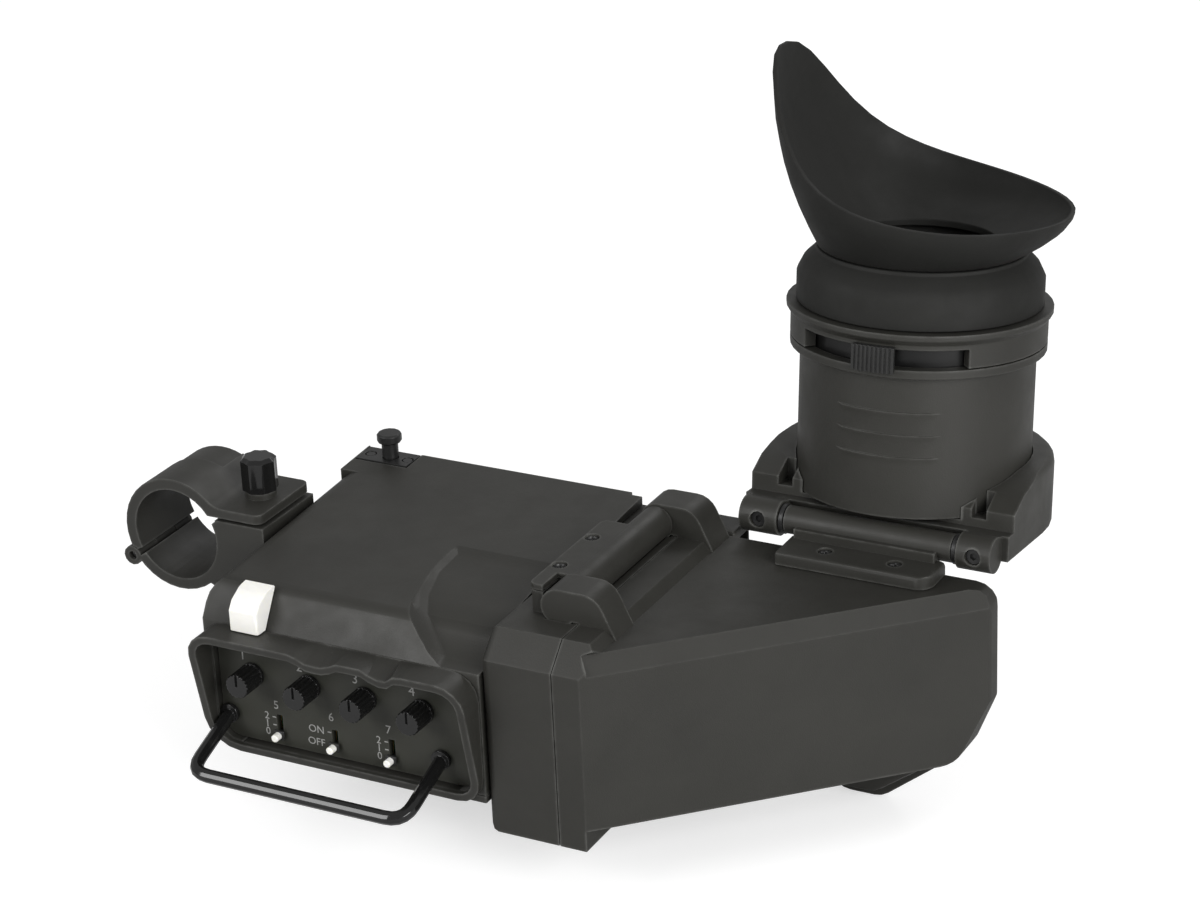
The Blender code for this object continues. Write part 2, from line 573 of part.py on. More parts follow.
MIC_TONGUE_RIGHT = BOX_LEFT - MIC_TONGUE_INSET
MIC_PIVOT_X = MIC_X + (MIC_OUTER + MIC_PIVOT_OUT) * math.cos(MIC_PIVOT_ANGLE * DEG)
MIC_PIVOT_Z = MIC_Z + (MIC_OUTER + MIC_PIVOT_OUT) * math.sin(MIC_PIVOT_ANGLE * DEG)
CLAMP_X = BOX_LEFT - CLAMP_FROM_WALL
CLAMP_Y = (MIC_FRONT + MIC_BACK) / 2

# The part's origin is the middle of the slide channel's floor
DATUM = Vector((
    (SLIDE_LEFT + SLIDE_RIGHT) / 2,
    SLIDE_FLOOR,
    (SLIDE_GROOVE_BOTTOM + SLIDE_GROOVE_TOP) / 2,
))


def box_top(y):
    """Height of the control box's top at a place along Y."""
    return BOX_CREST_Z + BOX_TOP_SLOPE * (y - BOX_CREST_Y)


def clear_scene():
    for item in list(bpy.data.objects):
        bpy.data.objects.remove(item, do_unlink=True)


def make_collection(name):
    collection = bpy.data.collections.new(name)
    bpy.context.scene.collection.children.link(collection)
    return collection


def make_material(name, colour, roughness, metallic=0.0, transmission=0.0):
    material = bpy.data.materials.new(name)
    material.use_nodes = True
    shader = material.node_tree.nodes["Principled BSDF"]
    shader.inputs["Base Color"].default_value = (*colour, 1.0)
    shader.inputs["Roughness"].default_value = roughness
    shader.inputs["Metallic"].default_value = metallic
    shader.inputs["Transmission Weight"].default_value = transmission
    material.diffuse_color = (*colour, 1.0)
    return material


class Frame:
    """An empty on a joint's axis, with the shift from drawing coordinates to its own."""

    def __init__(self, name, parent, place, tilt=0.0, drawn_at=None):
        self.empty = bpy.data.objects.new(name, None)
        PARTS.objects.link(self.empty)
        self.empty.location = place
        self.empty.rotation_euler = (tilt, 0.0, 0.0)
        self.empty.parent = parent.empty if parent else None
        self.shift = Matrix.Translation(-Vector(drawn_at or (0.0, 0.0, 0.0)))


def finish_mesh(name, bm):
    bmesh.ops.recalc_face_normals(bm, faces=bm.faces)
    if bm.calc_volume(signed=True) < 0:
        bmesh.ops.reverse_faces(bm, faces=bm.faces)
    mesh = bpy.data.meshes.new(name)
    bm.to_mesh(mesh)
    bm.free()
    return mesh


def box(low, high):
    """Box between two corners, as a bmesh."""
    bm = bmesh.new()
    bmesh.ops.create_cube(bm, size=1.0)
    size = Vector(high) - Vector(low)
    middle = (Vector(high) + Vector(low)) / 2
    bm.transform(Matrix.Translation(middle) @ Matrix.Diagonal((*size, 1.0)))
    return bm


def rod(start, end, radius, sides=ROUND_SIDES, end_radius=None):
    """Cylinder or cone between two points, as a bmesh."""
    start = Vector(start)
    run = Vector(end) - start
    bm = bmesh.new()
    bmesh.ops.create_cone(
        bm, cap_ends=True, segments=sides, radius1=radius,
        radius2=radius if end_radius is None else end_radius, depth=run.length,
    )
    turn = Vector((0.0, 0.0, 1.0)).rotation_difference(run).to_matrix().to_4x4()
    bm.transform(Matrix.Translation(start + run / 2) @ turn)
    return bm


PLANES = {
    "XY": Matrix(((1, 0, 0, 0), (0, 1, 0, 0), (0, 0, 1, 0), (0, 0, 0, 1))),
    "YZ": Matrix(((0, 0, 1, 0), (1, 0, 0, 0), (0, 1, 0, 0), (0, 0, 0, 1))),
    "XZ": Matrix(((1, 0, 0, 0), (0, 0, -1, 0), (0, 1, 0, 0), (0, 0, 0, 1))),
}


def slab_of(points, plane, low, high):
    """Outline in a plane, filled and given a thickness from low to high along the third axis."""
    curve = bpy.data.curves.new("outline", "CURVE")
    curve.dimensions = "2D"
    curve.fill_mode = "BOTH"
    curve.extrude = (high - low) / 2
    spline = curve.splines.new("POLY")
    spline.points.add(len(points) - 1)
    for point, place in zip(spline.points, points):
        point.co = (place[0], place[1], 0.0, 1.0)
    spline.use_cyclic_u = True
    outline = bpy.data.objects.new("outline", curve)
    bpy.context.scene.collection.objects.link(outline)
    mesh = bpy.data.meshes.new_from_object(
        outline.evaluated_get(bpy.context.evaluated_depsgraph_get()))
    bpy.data.objects.remove(outline)
    bpy.data.curves.remove(curve)
    bm = bmesh.new()
    bm.from_mesh(mesh)
    bpy.data.meshes.remove(mesh)
    bmesh.ops.remove_doubles(bm, verts=bm.verts, dist=MERGE)
    bmesh.ops.dissolve_limit(bm, angle_limit=DEG, verts=bm.verts, edges=bm.edges)
    middle = (low + high) / 2
    if plane == "XZ":
        middle = -middle
    bm.transform(PLANES[plane] @ Matrix.Translation((0.0, 0.0, middle)))
    bmesh.ops.recalc_face_normals(bm, faces=bm.faces)
    return bm


def soften(bm, width, segments, chosen=None):
    """Round or chamfer the sharp edges that a test picks out."""
    bm.edges.ensure_lookup_table()
    bm.normal_update()
    edges = []
    for edge in bm.edges:
        if len(edge.link_faces) != 2 or edge.calc_face_angle() < SHARP_ANGLE:
            continue
        if chosen is None or chosen(*(v.co for v in edge.verts)):
            edges.append(edge)
    bmesh.ops.bevel(
        bm, geom=edges, offset=width, segments=segments, profile=0.5,
        affect="EDGES", clamp_overlap=True,
    )
    return bm


def turned(profile, sides=BIG_SIDES):
    """Ring or disc turned about Z from a closed profile of (radius, height) points."""
    bm = bmesh.new()
    verts = [bm.verts.new((radius, 0.0, height)) for radius, height in profile]
    edges = [bm.edges.new((verts[i - 1], verts[i])) for i in range(len(verts))]
    bmesh.ops.spin(
        bm, geom=verts + edges, cent=(0.0, 0.0, 0.0), axis=(0.0, 0.0, 1.0),
        angle=2 * math.pi, steps=sides, use_merge=True,
    )
    bmesh.ops.remove_doubles(bm, verts=bm.verts, dist=MERGE)
    loose = [face for face in bm.faces if face.calc_area() < MERGE ** 2]
    bmesh.ops.delete(bm, geom=loose, context="FACES_ONLY")
    bmesh.ops.recalc_face_normals(bm, faces=bm.faces)
    return bm


def add(name, bm, material, frame, collection=None):
    """Make an object from a bmesh that is drawn in the frame's drawing coordinates."""
    bm.transform(frame.shift)
    item = bpy.data.objects.new(name, finish_mesh(name, bm))
    item.parent = frame.empty
    item.data.materials.append(material)
    (collection or PARTS).objects.link(item)
    item.data.shade_smooth()
    item.data.set_sharp_from_angle(angle=SMOOTH_ANGLE)
    return item


def combine(target, bm, operation):
    """Cut, join or trim a piece with another shape, kept as a hidden cutter."""
    cutter = bpy.data.objects.new(target.name + ".cutter", finish_mesh("cutter", bm))
    cutter.parent = target.parent
    cutter.hide_render = True
    cutter.display_type = "WIRE"
    CUTTERS.objects.link(cutter)
    modifier = target.modifiers.new(operation.lower(), "BOOLEAN")
    modifier.operation = operation
    modifier.solver = "EXACT"
    modifier.object = cutter
    return cutter


def cut(target, frame, *shapes):
    for bm in shapes:
        bm.transform(frame.shift)
        combine(target, bm, "DIFFERENCE")


def join(target, frame, *shapes):
    for bm in shapes:
        bm.transform(frame.shift)
        combine(target, bm, "UNION")


def trim(target, frame, *shapes):
    for bm in shapes:
        bm.transform(frame.shift)
        combine(target, bm, "INTERSECT")


def rounded_outline(left, right, bottom, top, radius, arc_steps=CORNER_STEPS, top_steps=1):
    """Rounded rectangle, anticlockwise from the bottom left corner's end."""
    points = []
    corners = (
        (right - radius, bottom + radius, -90), (right - radius, top - radius, 0),
        (left + radius, top - radius, 90), (left + radius, bottom + radius, 180),
    )
    for number, (x, z, start) in enumerate(corners):
        for step in range(arc_steps + 1):
            angle = (start + 90 * step / arc_steps) * DEG
            points.append((x + radius * math.cos(angle), z + radius * math.sin(angle)))
        if number == 1:
            run = right - left - 2 * radius
            for step in range(1, top_steps):
                points.append((right - radius - run * step / top_steps, top))
    return points


def arc(centre, radius, start, end, steps):
    """Points on an arc between two angles in degrees."""
    points = []
    for step in range(steps + 1):
        angle = (start + (end - start) * step / steps) * DEG
        points.append((centre[0] + radius * math.cos(angle), centre[1] + radius * math.sin(angle)))
    return points


def filleted(corners, steps=CORNER_STEPS):
    """Closed outline through (x, y, radius) corners, each rounded by an arc that touches both sides."""
    points = []
    for number, (x, y, radius) in enumerate(corners):
        if radius <= 0:
            points.append((x, y))
            continue
        corner = Vector((x, y))
        before = (Vector(corners[number - 1][:2]) - corner).normalized()
        after = (Vector(corners[(number + 1) % len(corners)][:2]) - corner).normalized()
        half = before.angle(after) / 2
        centre = corner + (before + after).normalized() * (radius / math.sin(half))
        start = corner + before * (radius / math.tan(half)) - centre
        end = corner + after * (radius / math.tan(half)) - centre
        first = math.atan2(start.y, start.x)
        sweep = math.atan2(start.x * end.y - start.y * end.x, start.dot(end))
        points += arc(centre, radius, first / DEG, (first + sweep) / DEG, steps)
    return points


def part_below(points, limit):
    """Part of a closed outline that lies below a height."""
    kept = []
    for number, (x, z) in enumerate(points):
        last_x, last_z = points[number - 1]
        if (z < limit) != (last_z < limit):
            share = (limit - last_z) / (z - last_z)
            kept.append((last_x + (x - last_x) * share, limit))
        if z < limit:
            kept.append((x, z))
    return kept


def screen_housing():
    profile = [
        (0.0, 0.0), (SLAB_DEPTH, 0.0), (SLAB_DEPTH, SLAB_HEIGHT),
        (SLAB_SLOPE, SLAB_HEIGHT), (0.0, SLAB_HEIGHT - SLAB_SLOPE),
    ]
    body = slab_of(profile, "YZ", SLAB_LEFT, SLAB_RIGHT)
    middle = (SLAB_LEFT + SLAB_RIGHT) / 2
    soften(body, SLAB_ROUND, 3, lambda a, b: max(a.x, b.x) < middle and min(a.y, b.y) < SLAB_SLOPE * 1.01)
    housing = add("screen_housing", body, PAINT, ROOT)
    boss = box((LEAF_LEFT, LEAF_FRONT, SLAB_HEIGHT - OVERRUN),
               (LEAF_RIGHT, LEAF_BACK, LEAF_TOP - LEAF_THICK - GAP))
    soften(boss, LEAF_ROUND, 2,
           lambda a, b: abs(a.z - b.z) > OVERRUN and a.x < FLIP_X - LEAF_RIGHT + LEAF_LEFT)
    join(housing, ROOT, boss)
    relief = FLIP_EAR_RADIUS + FLIP_RELIEF
    front = (FLIP_X, FLIP_FRONT_EAR - GAP, FLIP_Z)
    front_end = (FLIP_X, FLIP_BARREL_FRONT + GAP, FLIP_Z)
    back = (FLIP_X, FLIP_BARREL_BACK - GAP, FLIP_Z)
    back_end = (FLIP_X, FLIP_BACK_EAR_END + GAP, FLIP_Z)
    cut(
        housing, ROOT,
        rod(front, front_end, relief, ROUND_SIDES),
        rod(back, back_end, relief, ROUND_SIDES),
        rod(front_end, back, FLIP_BARREL_RADIUS + GAP, ROUND_SIDES),
        box((EAR_NOTCH_LEFT, LEAF_FRONT - OVERRUN, SLAB_HEIGHT + GAP),
            (FLIP_X, FLIP_BARREL_FRONT + GAP, LEAF_TOP)),
        box((SCREEN_FLOOR, SCREEN_POCKET_EDGE, SCREEN_POCKET_EDGE),
            (SLAB_RIGHT + OVERRUN, SLAB_DEPTH - SCREEN_POCKET_EDGE,
             SCREEN_TOP)),
    )
    for y in LEAF_SCREWS:
        bottom = LEAF_TOP - HINGE_SCREW_SUNK - HINGE_SCREW_LENGTH - GAP
        cut(housing, ROOT, rod((LEAF_SCREW_X, y, bottom), (LEAF_SCREW_X, y, LEAF_TOP),
                               HINGE_SCREW_RADIUS + SCREW_CLEARANCE, SMALL_SIDES))


def screen_stack():
    """Board, backlight, display and bezel, stacked in the slab's pocket."""
    low = SCREEN_POCKET_EDGE + GAP
    side = SLAB_DEPTH - SCREEN_POCKET_EDGE - GAP
    top = SCREEN_TOP - GAP
    layers = (
        ("screen_board", SCREEN_BOARD_THICK, BOARD),
        ("backlight", BACKLIGHT_THICK, WHITE_PLASTIC),
        ("lcd_panel", LCD_THICK, GLASS),
        ("screen_bezel", BEZEL_THICK, BLACK_PLASTIC),
    )
    start = SCREEN_FLOOR + GAP
    for name, thick, material in layers:
        layer = add(name, box((start, low, low), (start + thick, side, top)), material, ROOT)
        if name == "screen_bezel":
            window = rounded_outline(low + BEZEL_BORDER_SIDE, side - BEZEL_BORDER_SIDE,
                                     low + BEZEL_BORDER_TOP, top - BEZEL_BORDER_TOP, BEZEL_BORDER_TOP, 3)
            cut(layer, ROOT, slab_of(window, "YZ", start - OVERRUN, start + thick + OVERRUN))
        start += thick + GAP


def hinge_leaf():
    plate = box((LEAF_LEFT, LEAF_FRONT, LEAF_TOP - LEAF_THICK), (FLIP_X, LEAF_BACK, LEAF_TOP))
    soften(plate, LEAF_ROUND, 3, lambda a, b: abs(a.z - b.z) > GAP and a.x < LEAF_RIGHT)
    leaf = add("hinge_leaf", plate, PAINT, ROOT)
    start = (FLIP_X, FLIP_BARREL_FRONT, FLIP_Z)
    end = (FLIP_X, FLIP_BARREL_BACK, FLIP_Z)
    join(leaf, ROOT, rod(start, end, FLIP_BARREL_RADIUS, ROUND_SIDES))
    cut(
        leaf, ROOT,
        box((EAR_NOTCH_LEFT, LEAF_FRONT - OVERRUN, LEAF_TOP - LEAF_THICK - OVERRUN),
            (FLIP_X + OVERRUN, FLIP_BARREL_FRONT, LEAF_TOP + OVERRUN)),
        rod((FLIP_X, FLIP_BARREL_FRONT - OVERRUN, FLIP_Z), (FLIP_X, FLIP_BARREL_BACK + OVERRUN, FLIP_Z),
            FLIP_PIN_BORE, SMALL_SIDES),
    )
    for number, y in enumerate(LEAF_SCREWS):
        head = LEAF_TOP - HINGE_SCREW_SUNK
        cut(leaf, ROOT, rod((LEAF_SCREW_X, y, LEAF_TOP - LEAF_THICK - OVERRUN),
                            (LEAF_SCREW_X, y, LEAF_TOP + OVERRUN),
                            HINGE_SCREW_RADIUS + SCREW_CLEARANCE, SMALL_SIDES))
        screw = rod((LEAF_SCREW_X, y, head - HINGE_SCREW_LENGTH), (LEAF_SCREW_X, y, head),
                    HINGE_SCREW_RADIUS, SMALL_SIDES)
        add("leaf_screw_%d" % (number + 1), screw, BLACK_METAL, ROOT)


def ear_outline():
    """Side shape of an ear: round the hinge axis on the left, an arch down to its foot on the right."""
    foot = HOUSING_TOP - OVERRUN
    under = SLAB_HEIGHT + GAP
    top = FLIP_Z + FLIP_EAR_RADIUS
    foot_right = FLANGE_RIGHT + EAR_FOOT_RUN
    reach = math.degrees(math.asin((FLIP_Z - under) / FLIP_EAR_RADIUS))
    points = arc((FLIP_X, FLIP_Z), FLIP_EAR_RADIUS, 90, 360 - reach, 12)
    points += [(FLANGE_LEFT, under), (FLANGE_LEFT, foot), (foot_right, foot)]
    arch = filleted([
        (FLIP_X, top, 0), (foot_right, HOUSING_TOP, 0), (FLIP_X + EAR_TOP_RUN, top, EAR_ROUND),
    ])
    return points + arch[1:]


def housing_plan():
    """Plan of the wedge: flange, skewed front, end and back, with its end corners rounded."""
    return filleted([
        (FLANGE_LEFT, 0.0, 0), (FLANGE_RIGHT, 0.0, 0),
        (HOUSING_RIGHT, HOUSING_SKEW_END, HOUSING_END_ROUND / 2),
        (HOUSING_RIGHT, HOUSING_BACK, HOUSING_END_ROUND / 4), (FLANGE_LEFT, HOUSING_BACK, 0),
    ])


def skew_axes():
    """Start, direction and inward normal of the housing's skewed front face, in plan."""
    start = Vector((FLANGE_RIGHT, 0.0))
    along = (Vector((HOUSING_RIGHT, HOUSING_SKEW_END)) - start).normalized()
    return start, along, Vector((-along.y, along.x))


def skew_point(along_run, depth):
    start, along, inward = skew_axes()
    return start + along * along_run + inward * depth


def frame_outline(grow=0.0):
    """Rear frame's outline, symmetric about the optical axis, bottom first."""
    half = [
        (FRAME_HALF_WIDTH * FRAME_FLAT_SHARE, HOUSING_BOTTOM - FRAME_DROP - grow, FRAME_ROUND),
        (FRAME_HALF_WIDTH * FRAME_KNEE_SHARE + grow, HOUSING_BOTTOM - FRAME_KNEE_DROP, FRAME_ROUND),
        (FRAME_HALF_WIDTH * FRAME_HIP_SHARE + grow, HOUSING_BOTTOM + FRAME_HIP_RISE, FRAME_ROUND),
        (FRAME_HALF_WIDTH + grow, HOUSING_BOTTOM + FRAME_SIDE_RISE, FRAME_ROUND),
        (FRAME_HALF_WIDTH + grow, FRAME_TOP + grow, FRAME_TOP_ROUND),
    ]
    corners = [(AXIS_X + x, z, radius) for x, z, radius in half]
    corners += [(AXIS_X - x, z, radius) for x, z, radius in reversed(half)]
    return filleted(corners, FRAME_ARC_STEPS)


def chamber_plan():
    _, along, _ = skew_axes()
    wall = skew_point(0.0, FRONT_WALL)
    front = wall + along * ((CHAMBER_FRONT - wall.y) / along.y)
    corner = wall + along * ((CHAMBER_RIGHT - wall.x) / along.x)
    left = FLANGE_LEFT - OVERRUN
    return [
        (left, CHAMBER_FRONT), (front.x, front.y), (corner.x, corner.y),
        (CHAMBER_RIGHT, CHAMBER_BACK), (left, CHAMBER_BACK),
    ]


def window_outline():
    return rounded_outline(AXIS_X - WINDOW_HALF_WIDTH, AXIS_X + WINDOW_HALF_WIDTH,
                           WINDOW_BOTTOM, WINDOW_TOP, WINDOW_ROUND, 4)


def mirror_housing():
    housing = add("mirror_housing", slab_of(housing_plan(), "XY", 0.0, SLAB_HEIGHT), PAINT, FLIP)
    end = HOUSING_RIGHT + OVERRUN
    left = FLANGE_LEFT - OVERRUN
    front_view = filleted([
        (left, -OVERRUN, 0), (FLANGE_RIGHT, -OVERRUN, 0), (FLANGE_RIGHT, HOUSING_BOTTOM, 0),
        (HOUSING_RIGHT - HOUSING_FOOT_RUN, HOUSING_BOTTOM, HOUSING_END_ROUND),
        (HOUSING_RIGHT, HOUSING_BOTTOM + HOUSING_FOOT_RISE, HOUSING_END_ROUND),
        (HOUSING_RIGHT, HOUSING_TOP, HOUSING_END_DROP),
        (FLANGE_RIGHT + PLATFORM_RUN, HOUSING_TOP, 0), (FLANGE_RIGHT, SLAB_HEIGHT, 0), (left, SLAB_HEIGHT, 0),
    ])
    trim(housing, FLIP, slab_of(front_view, "XZ", -OVERRUN, HOUSING_BACK + OVERRUN))
    side_view = [
        (-OVERRUN, -OVERRUN), (HOUSING_BACK + OVERRUN, -OVERRUN),
        (HOUSING_BACK + OVERRUN, SLAB_HEIGHT + OVERRUN), (SLAB_SLOPE + OVERRUN, SLAB_HEIGHT + OVERRUN),
        (-OVERRUN, SLAB_HEIGHT - SLAB_SLOPE - OVERRUN),
    ]
    trim(housing, FLIP, slab_of(side_view, "YZ", left, end + OVERRUN))
    cut(housing, FLIP, skew_edge_cutter())
    for start, stop in (
        (FLIP_FRONT_EAR, FLIP_BARREL_FRONT - GAP), (FLIP_BARREL_BACK + GAP, FLIP_BACK_EAR_END),
    ):
        join(housing, FLIP, slab_of(ear_outline(), "XZ", start, stop))
    seat = HOUSING_BACK - FRAME_THICK - GAP
    cut(
        housing, FLIP,
        slab_of(chamber_plan(), "XY", CHAMBER_BOTTOM, CHAMBER_TOP),
        slab_of(window_outline(), "XZ", CHAMBER_BACK - OVERRUN, HOUSING_BACK + OVERRUN),
        slab_of(frame_outline(GAP), "XZ", seat, HOUSING_BACK + OVERRUN),
        rod((FLIP_X, FLIP_FRONT_EAR + FLIP_PIN_COVER - GAP, FLIP_Z),
            (FLIP_X, FLIP_BACK_EAR_END + OVERRUN, FLIP_Z), FLIP_PIN_BORE, SMALL_SIDES),
    )
    head = HOUSING_TOP + GAP + HINGE_PLATE_THICK - HINGE_SCREW_SUNK
    for x in HINGE_PLATE_SCREWS:
        cut(housing, FLIP, rod(
            (x, HINGE_PLATE_SCREW_Y, head - HINGE_SCREW_LENGTH - GAP),
            (x, HINGE_PLATE_SCREW_Y, HOUSING_TOP + OVERRUN), HINGE_SCREW_RADIUS + SCREW_CLEARANCE,
            SMALL_SIDES,
        ))


def skew_edge_cutter():
    """Long wedge that chamfers the top edge of the skewed front face."""
    start, along, inward = skew_axes()
    side = HOUSING_EDGE * math.sqrt(2)
    length = (Vector((HOUSING_RIGHT, HOUSING_SKEW_END)) - start).length
    bm = bmesh.new()
    bmesh.ops.create_cube(bm, size=1.0)
    bm.transform(Matrix.Diagonal((length + HOUSING_EDGE, side, side, 1.0)))
    bm.transform(Matrix.Rotation(45 * DEG, 4, "X"))
    heading = math.atan2(along.y, along.x)
    middle = start + along * (length / 2 + HOUSING_EDGE)
    turn = Matrix.Rotation(heading, 4, "Z")
    bm.transform(Matrix.Translation((middle.x, middle.y, HOUSING_TOP)) @ turn)
    return bm


def hinge_pin(name, start, end, radius, frame):
    add(name, rod(start, end, radius, SMALL_SIDES), STEEL, frame)


def mirror_parts():
    start, along, inward = skew_axes()
    heading = math.atan2(along.y, along.x)
    low = CHAMBER_BOTTOM + MIRROR_EDGE
    high = CHAMBER_TOP - MIRROR_EDGE
    face_length = (Vector((HOUSING_RIGHT, HOUSING_SKEW_END)) - start).length
    mirror_length = face_length - MIRROR_START - MIRROR_END_ROOM

    def upright(run, length, depth, thick, bottom, top):
        bm = bmesh.new()
        bmesh.ops.create_cube(bm, size=1.0)
        bm.transform(Matrix.Diagonal((length, thick, top - bottom, 1.0)))
        place = skew_point(run + length / 2, depth + thick / 2)
        turn = Matrix.Rotation(heading, 4, "Z")
        bm.transform(Matrix.Translation((place.x, place.y, (bottom + top) / 2)) @ turn)
        return bm

    face = FRONT_WALL + GAP
    add("mirror", upright(MIRROR_START, mirror_length, face, MIRROR_THICK, low, high), MIRROR, FLIP)
    middle = (low + high) / 2
    run = MIRROR_START + mirror_length + GAP
    clip = upright(run, CLIP_WIDTH, face, MIRROR_THICK + CLIP_THICK,
                   middle - CLIP_HEIGHT / 2, middle + CLIP_HEIGHT / 2)
    add("mirror_clip", clip, BLACK_PLASTIC, FLIP)


def latch_block():
    front = HOUSING_BACK + GAP
    back = front + LATCH_DEPTH
    bottom = LATCH_TOP - LATCH_TALL
    block = box((LATCH_LEFT, front, bottom), (LATCH_RIGHT, back, LATCH_TOP))
    soften(block, LATCH_EDGE, 2,
           lambda a, b: min(a.y, b.y) > front + OVERRUN or min(a.z, b.z) > bottom + OVERRUN)
    latch = add("latch_block", block, PAINT, FLIP)
    slot_top = LATCH_TOP - LATCH_SLOT_DROP
    cut(latch, FLIP, box(
        (LATCH_RIGHT - LATCH_SLOT_DEPTH, front + OVERRUN, slot_top - LATCH_SLOT_HEIGHT),
        (LATCH_RIGHT + OVERRUN, back - OVERRUN, slot_top),
    ))


def rear_frame():
    back = HOUSING_BACK
    front = back - FRAME_BULGE_DEPTH
    frame = add("rear_frame", slab_of(frame_outline(), "XZ", back - FRAME_THICK, back), PAINT, FLIP)
    outline = part_below(frame_outline(-FRAME_BULGE_INSET), HOUSING_BOTTOM - GAP)
    bulge = slab_of(outline, "XZ", front, back - FRAME_THICK / 2)
    soften(bulge, FRAME_BULGE_EDGE, 2,
           lambda a, b: max(a.y, b.y) < front + GAP and min(a.z, b.z) < HOUSING_BOTTOM - 2 * GAP)
    join(frame, FLIP, bulge)
    cut(frame, FLIP, slab_of(window_outline(), "XZ", back - FRAME_THICK - OVERRUN, back + OVERRUN))


def eyepiece_hinge_plate():
    bottom = HOUSING_TOP + GAP
    top = bottom + HINGE_PLATE_THICK
    back = HOUSING_BACK - GAP
    plate = box((HINGE_PLATE_LEFT, HOUSING_BACK - HINGE_PLATE_DEPTH, bottom), (HINGE_PLATE_RIGHT, back, top))
    soften(plate, HINGE_PLATE_EDGE, 2,
           lambda a, b: max(a.z, b.z) > bottom + GAP and min(a.y, b.y) < back - OVERRUN)
    leaf = add("eyepiece_hinge_plate", plate, PAINT, FLIP)
    web = box((TURN_BARREL_LEFT + HINGE_WEB_INSET, back - OVERRUN, TURN_Z - HINGE_WEB_DROP),
              (TURN_BARREL_RIGHT - HINGE_WEB_INSET, TURN_Y, TURN_Z))
    ends = (TURN_BARREL_LEFT, TURN_Y, TURN_Z), (TURN_BARREL_RIGHT, TURN_Y, TURN_Z)
    join(leaf, FLIP, web, rod(*ends, TURN_BARREL_RADIUS, ROUND_SIDES))
    cut(leaf, FLIP,
        rod((TURN_BARREL_LEFT - OVERRUN, TURN_Y, TURN_Z), (TURN_BARREL_RIGHT + OVERRUN, TURN_Y, TURN_Z),
                        TURN_PIN_BORE, SMALL_SIDES))
    head = top - HINGE_SCREW_SUNK
    for number, x in enumerate(HINGE_PLATE_SCREWS):
        cut(leaf, FLIP,
            rod((x, HINGE_PLATE_SCREW_Y, bottom - OVERRUN), (x, HINGE_PLATE_SCREW_Y, top + OVERRUN),
                            HINGE_SCREW_RADIUS + SCREW_CLEARANCE, SMALL_SIDES))
        screw = rod((x, HINGE_PLATE_SCREW_Y, head - HINGE_SCREW_LENGTH), (x, HINGE_PLATE_SCREW_Y, head),
                    HINGE_SCREW_RADIUS, SMALL_SIDES)
        add("hinge_plate_screw_%d" % (number + 1), screw, BLACK_METAL, FLIP)


def base_outline():
    """Plan of the eyepiece base: straight flanks, and a half round about the optical axis."""
    points = [(AXIS_X - BASE_HALF_WIDTH, BASE_FRONT), (AXIS_X + BASE_HALF_WIDTH, BASE_FRONT)]
    return points + arc((AXIS_X, AXIS_V), BASE_HALF_WIDTH, 0, 180, BASE_END_STEPS)


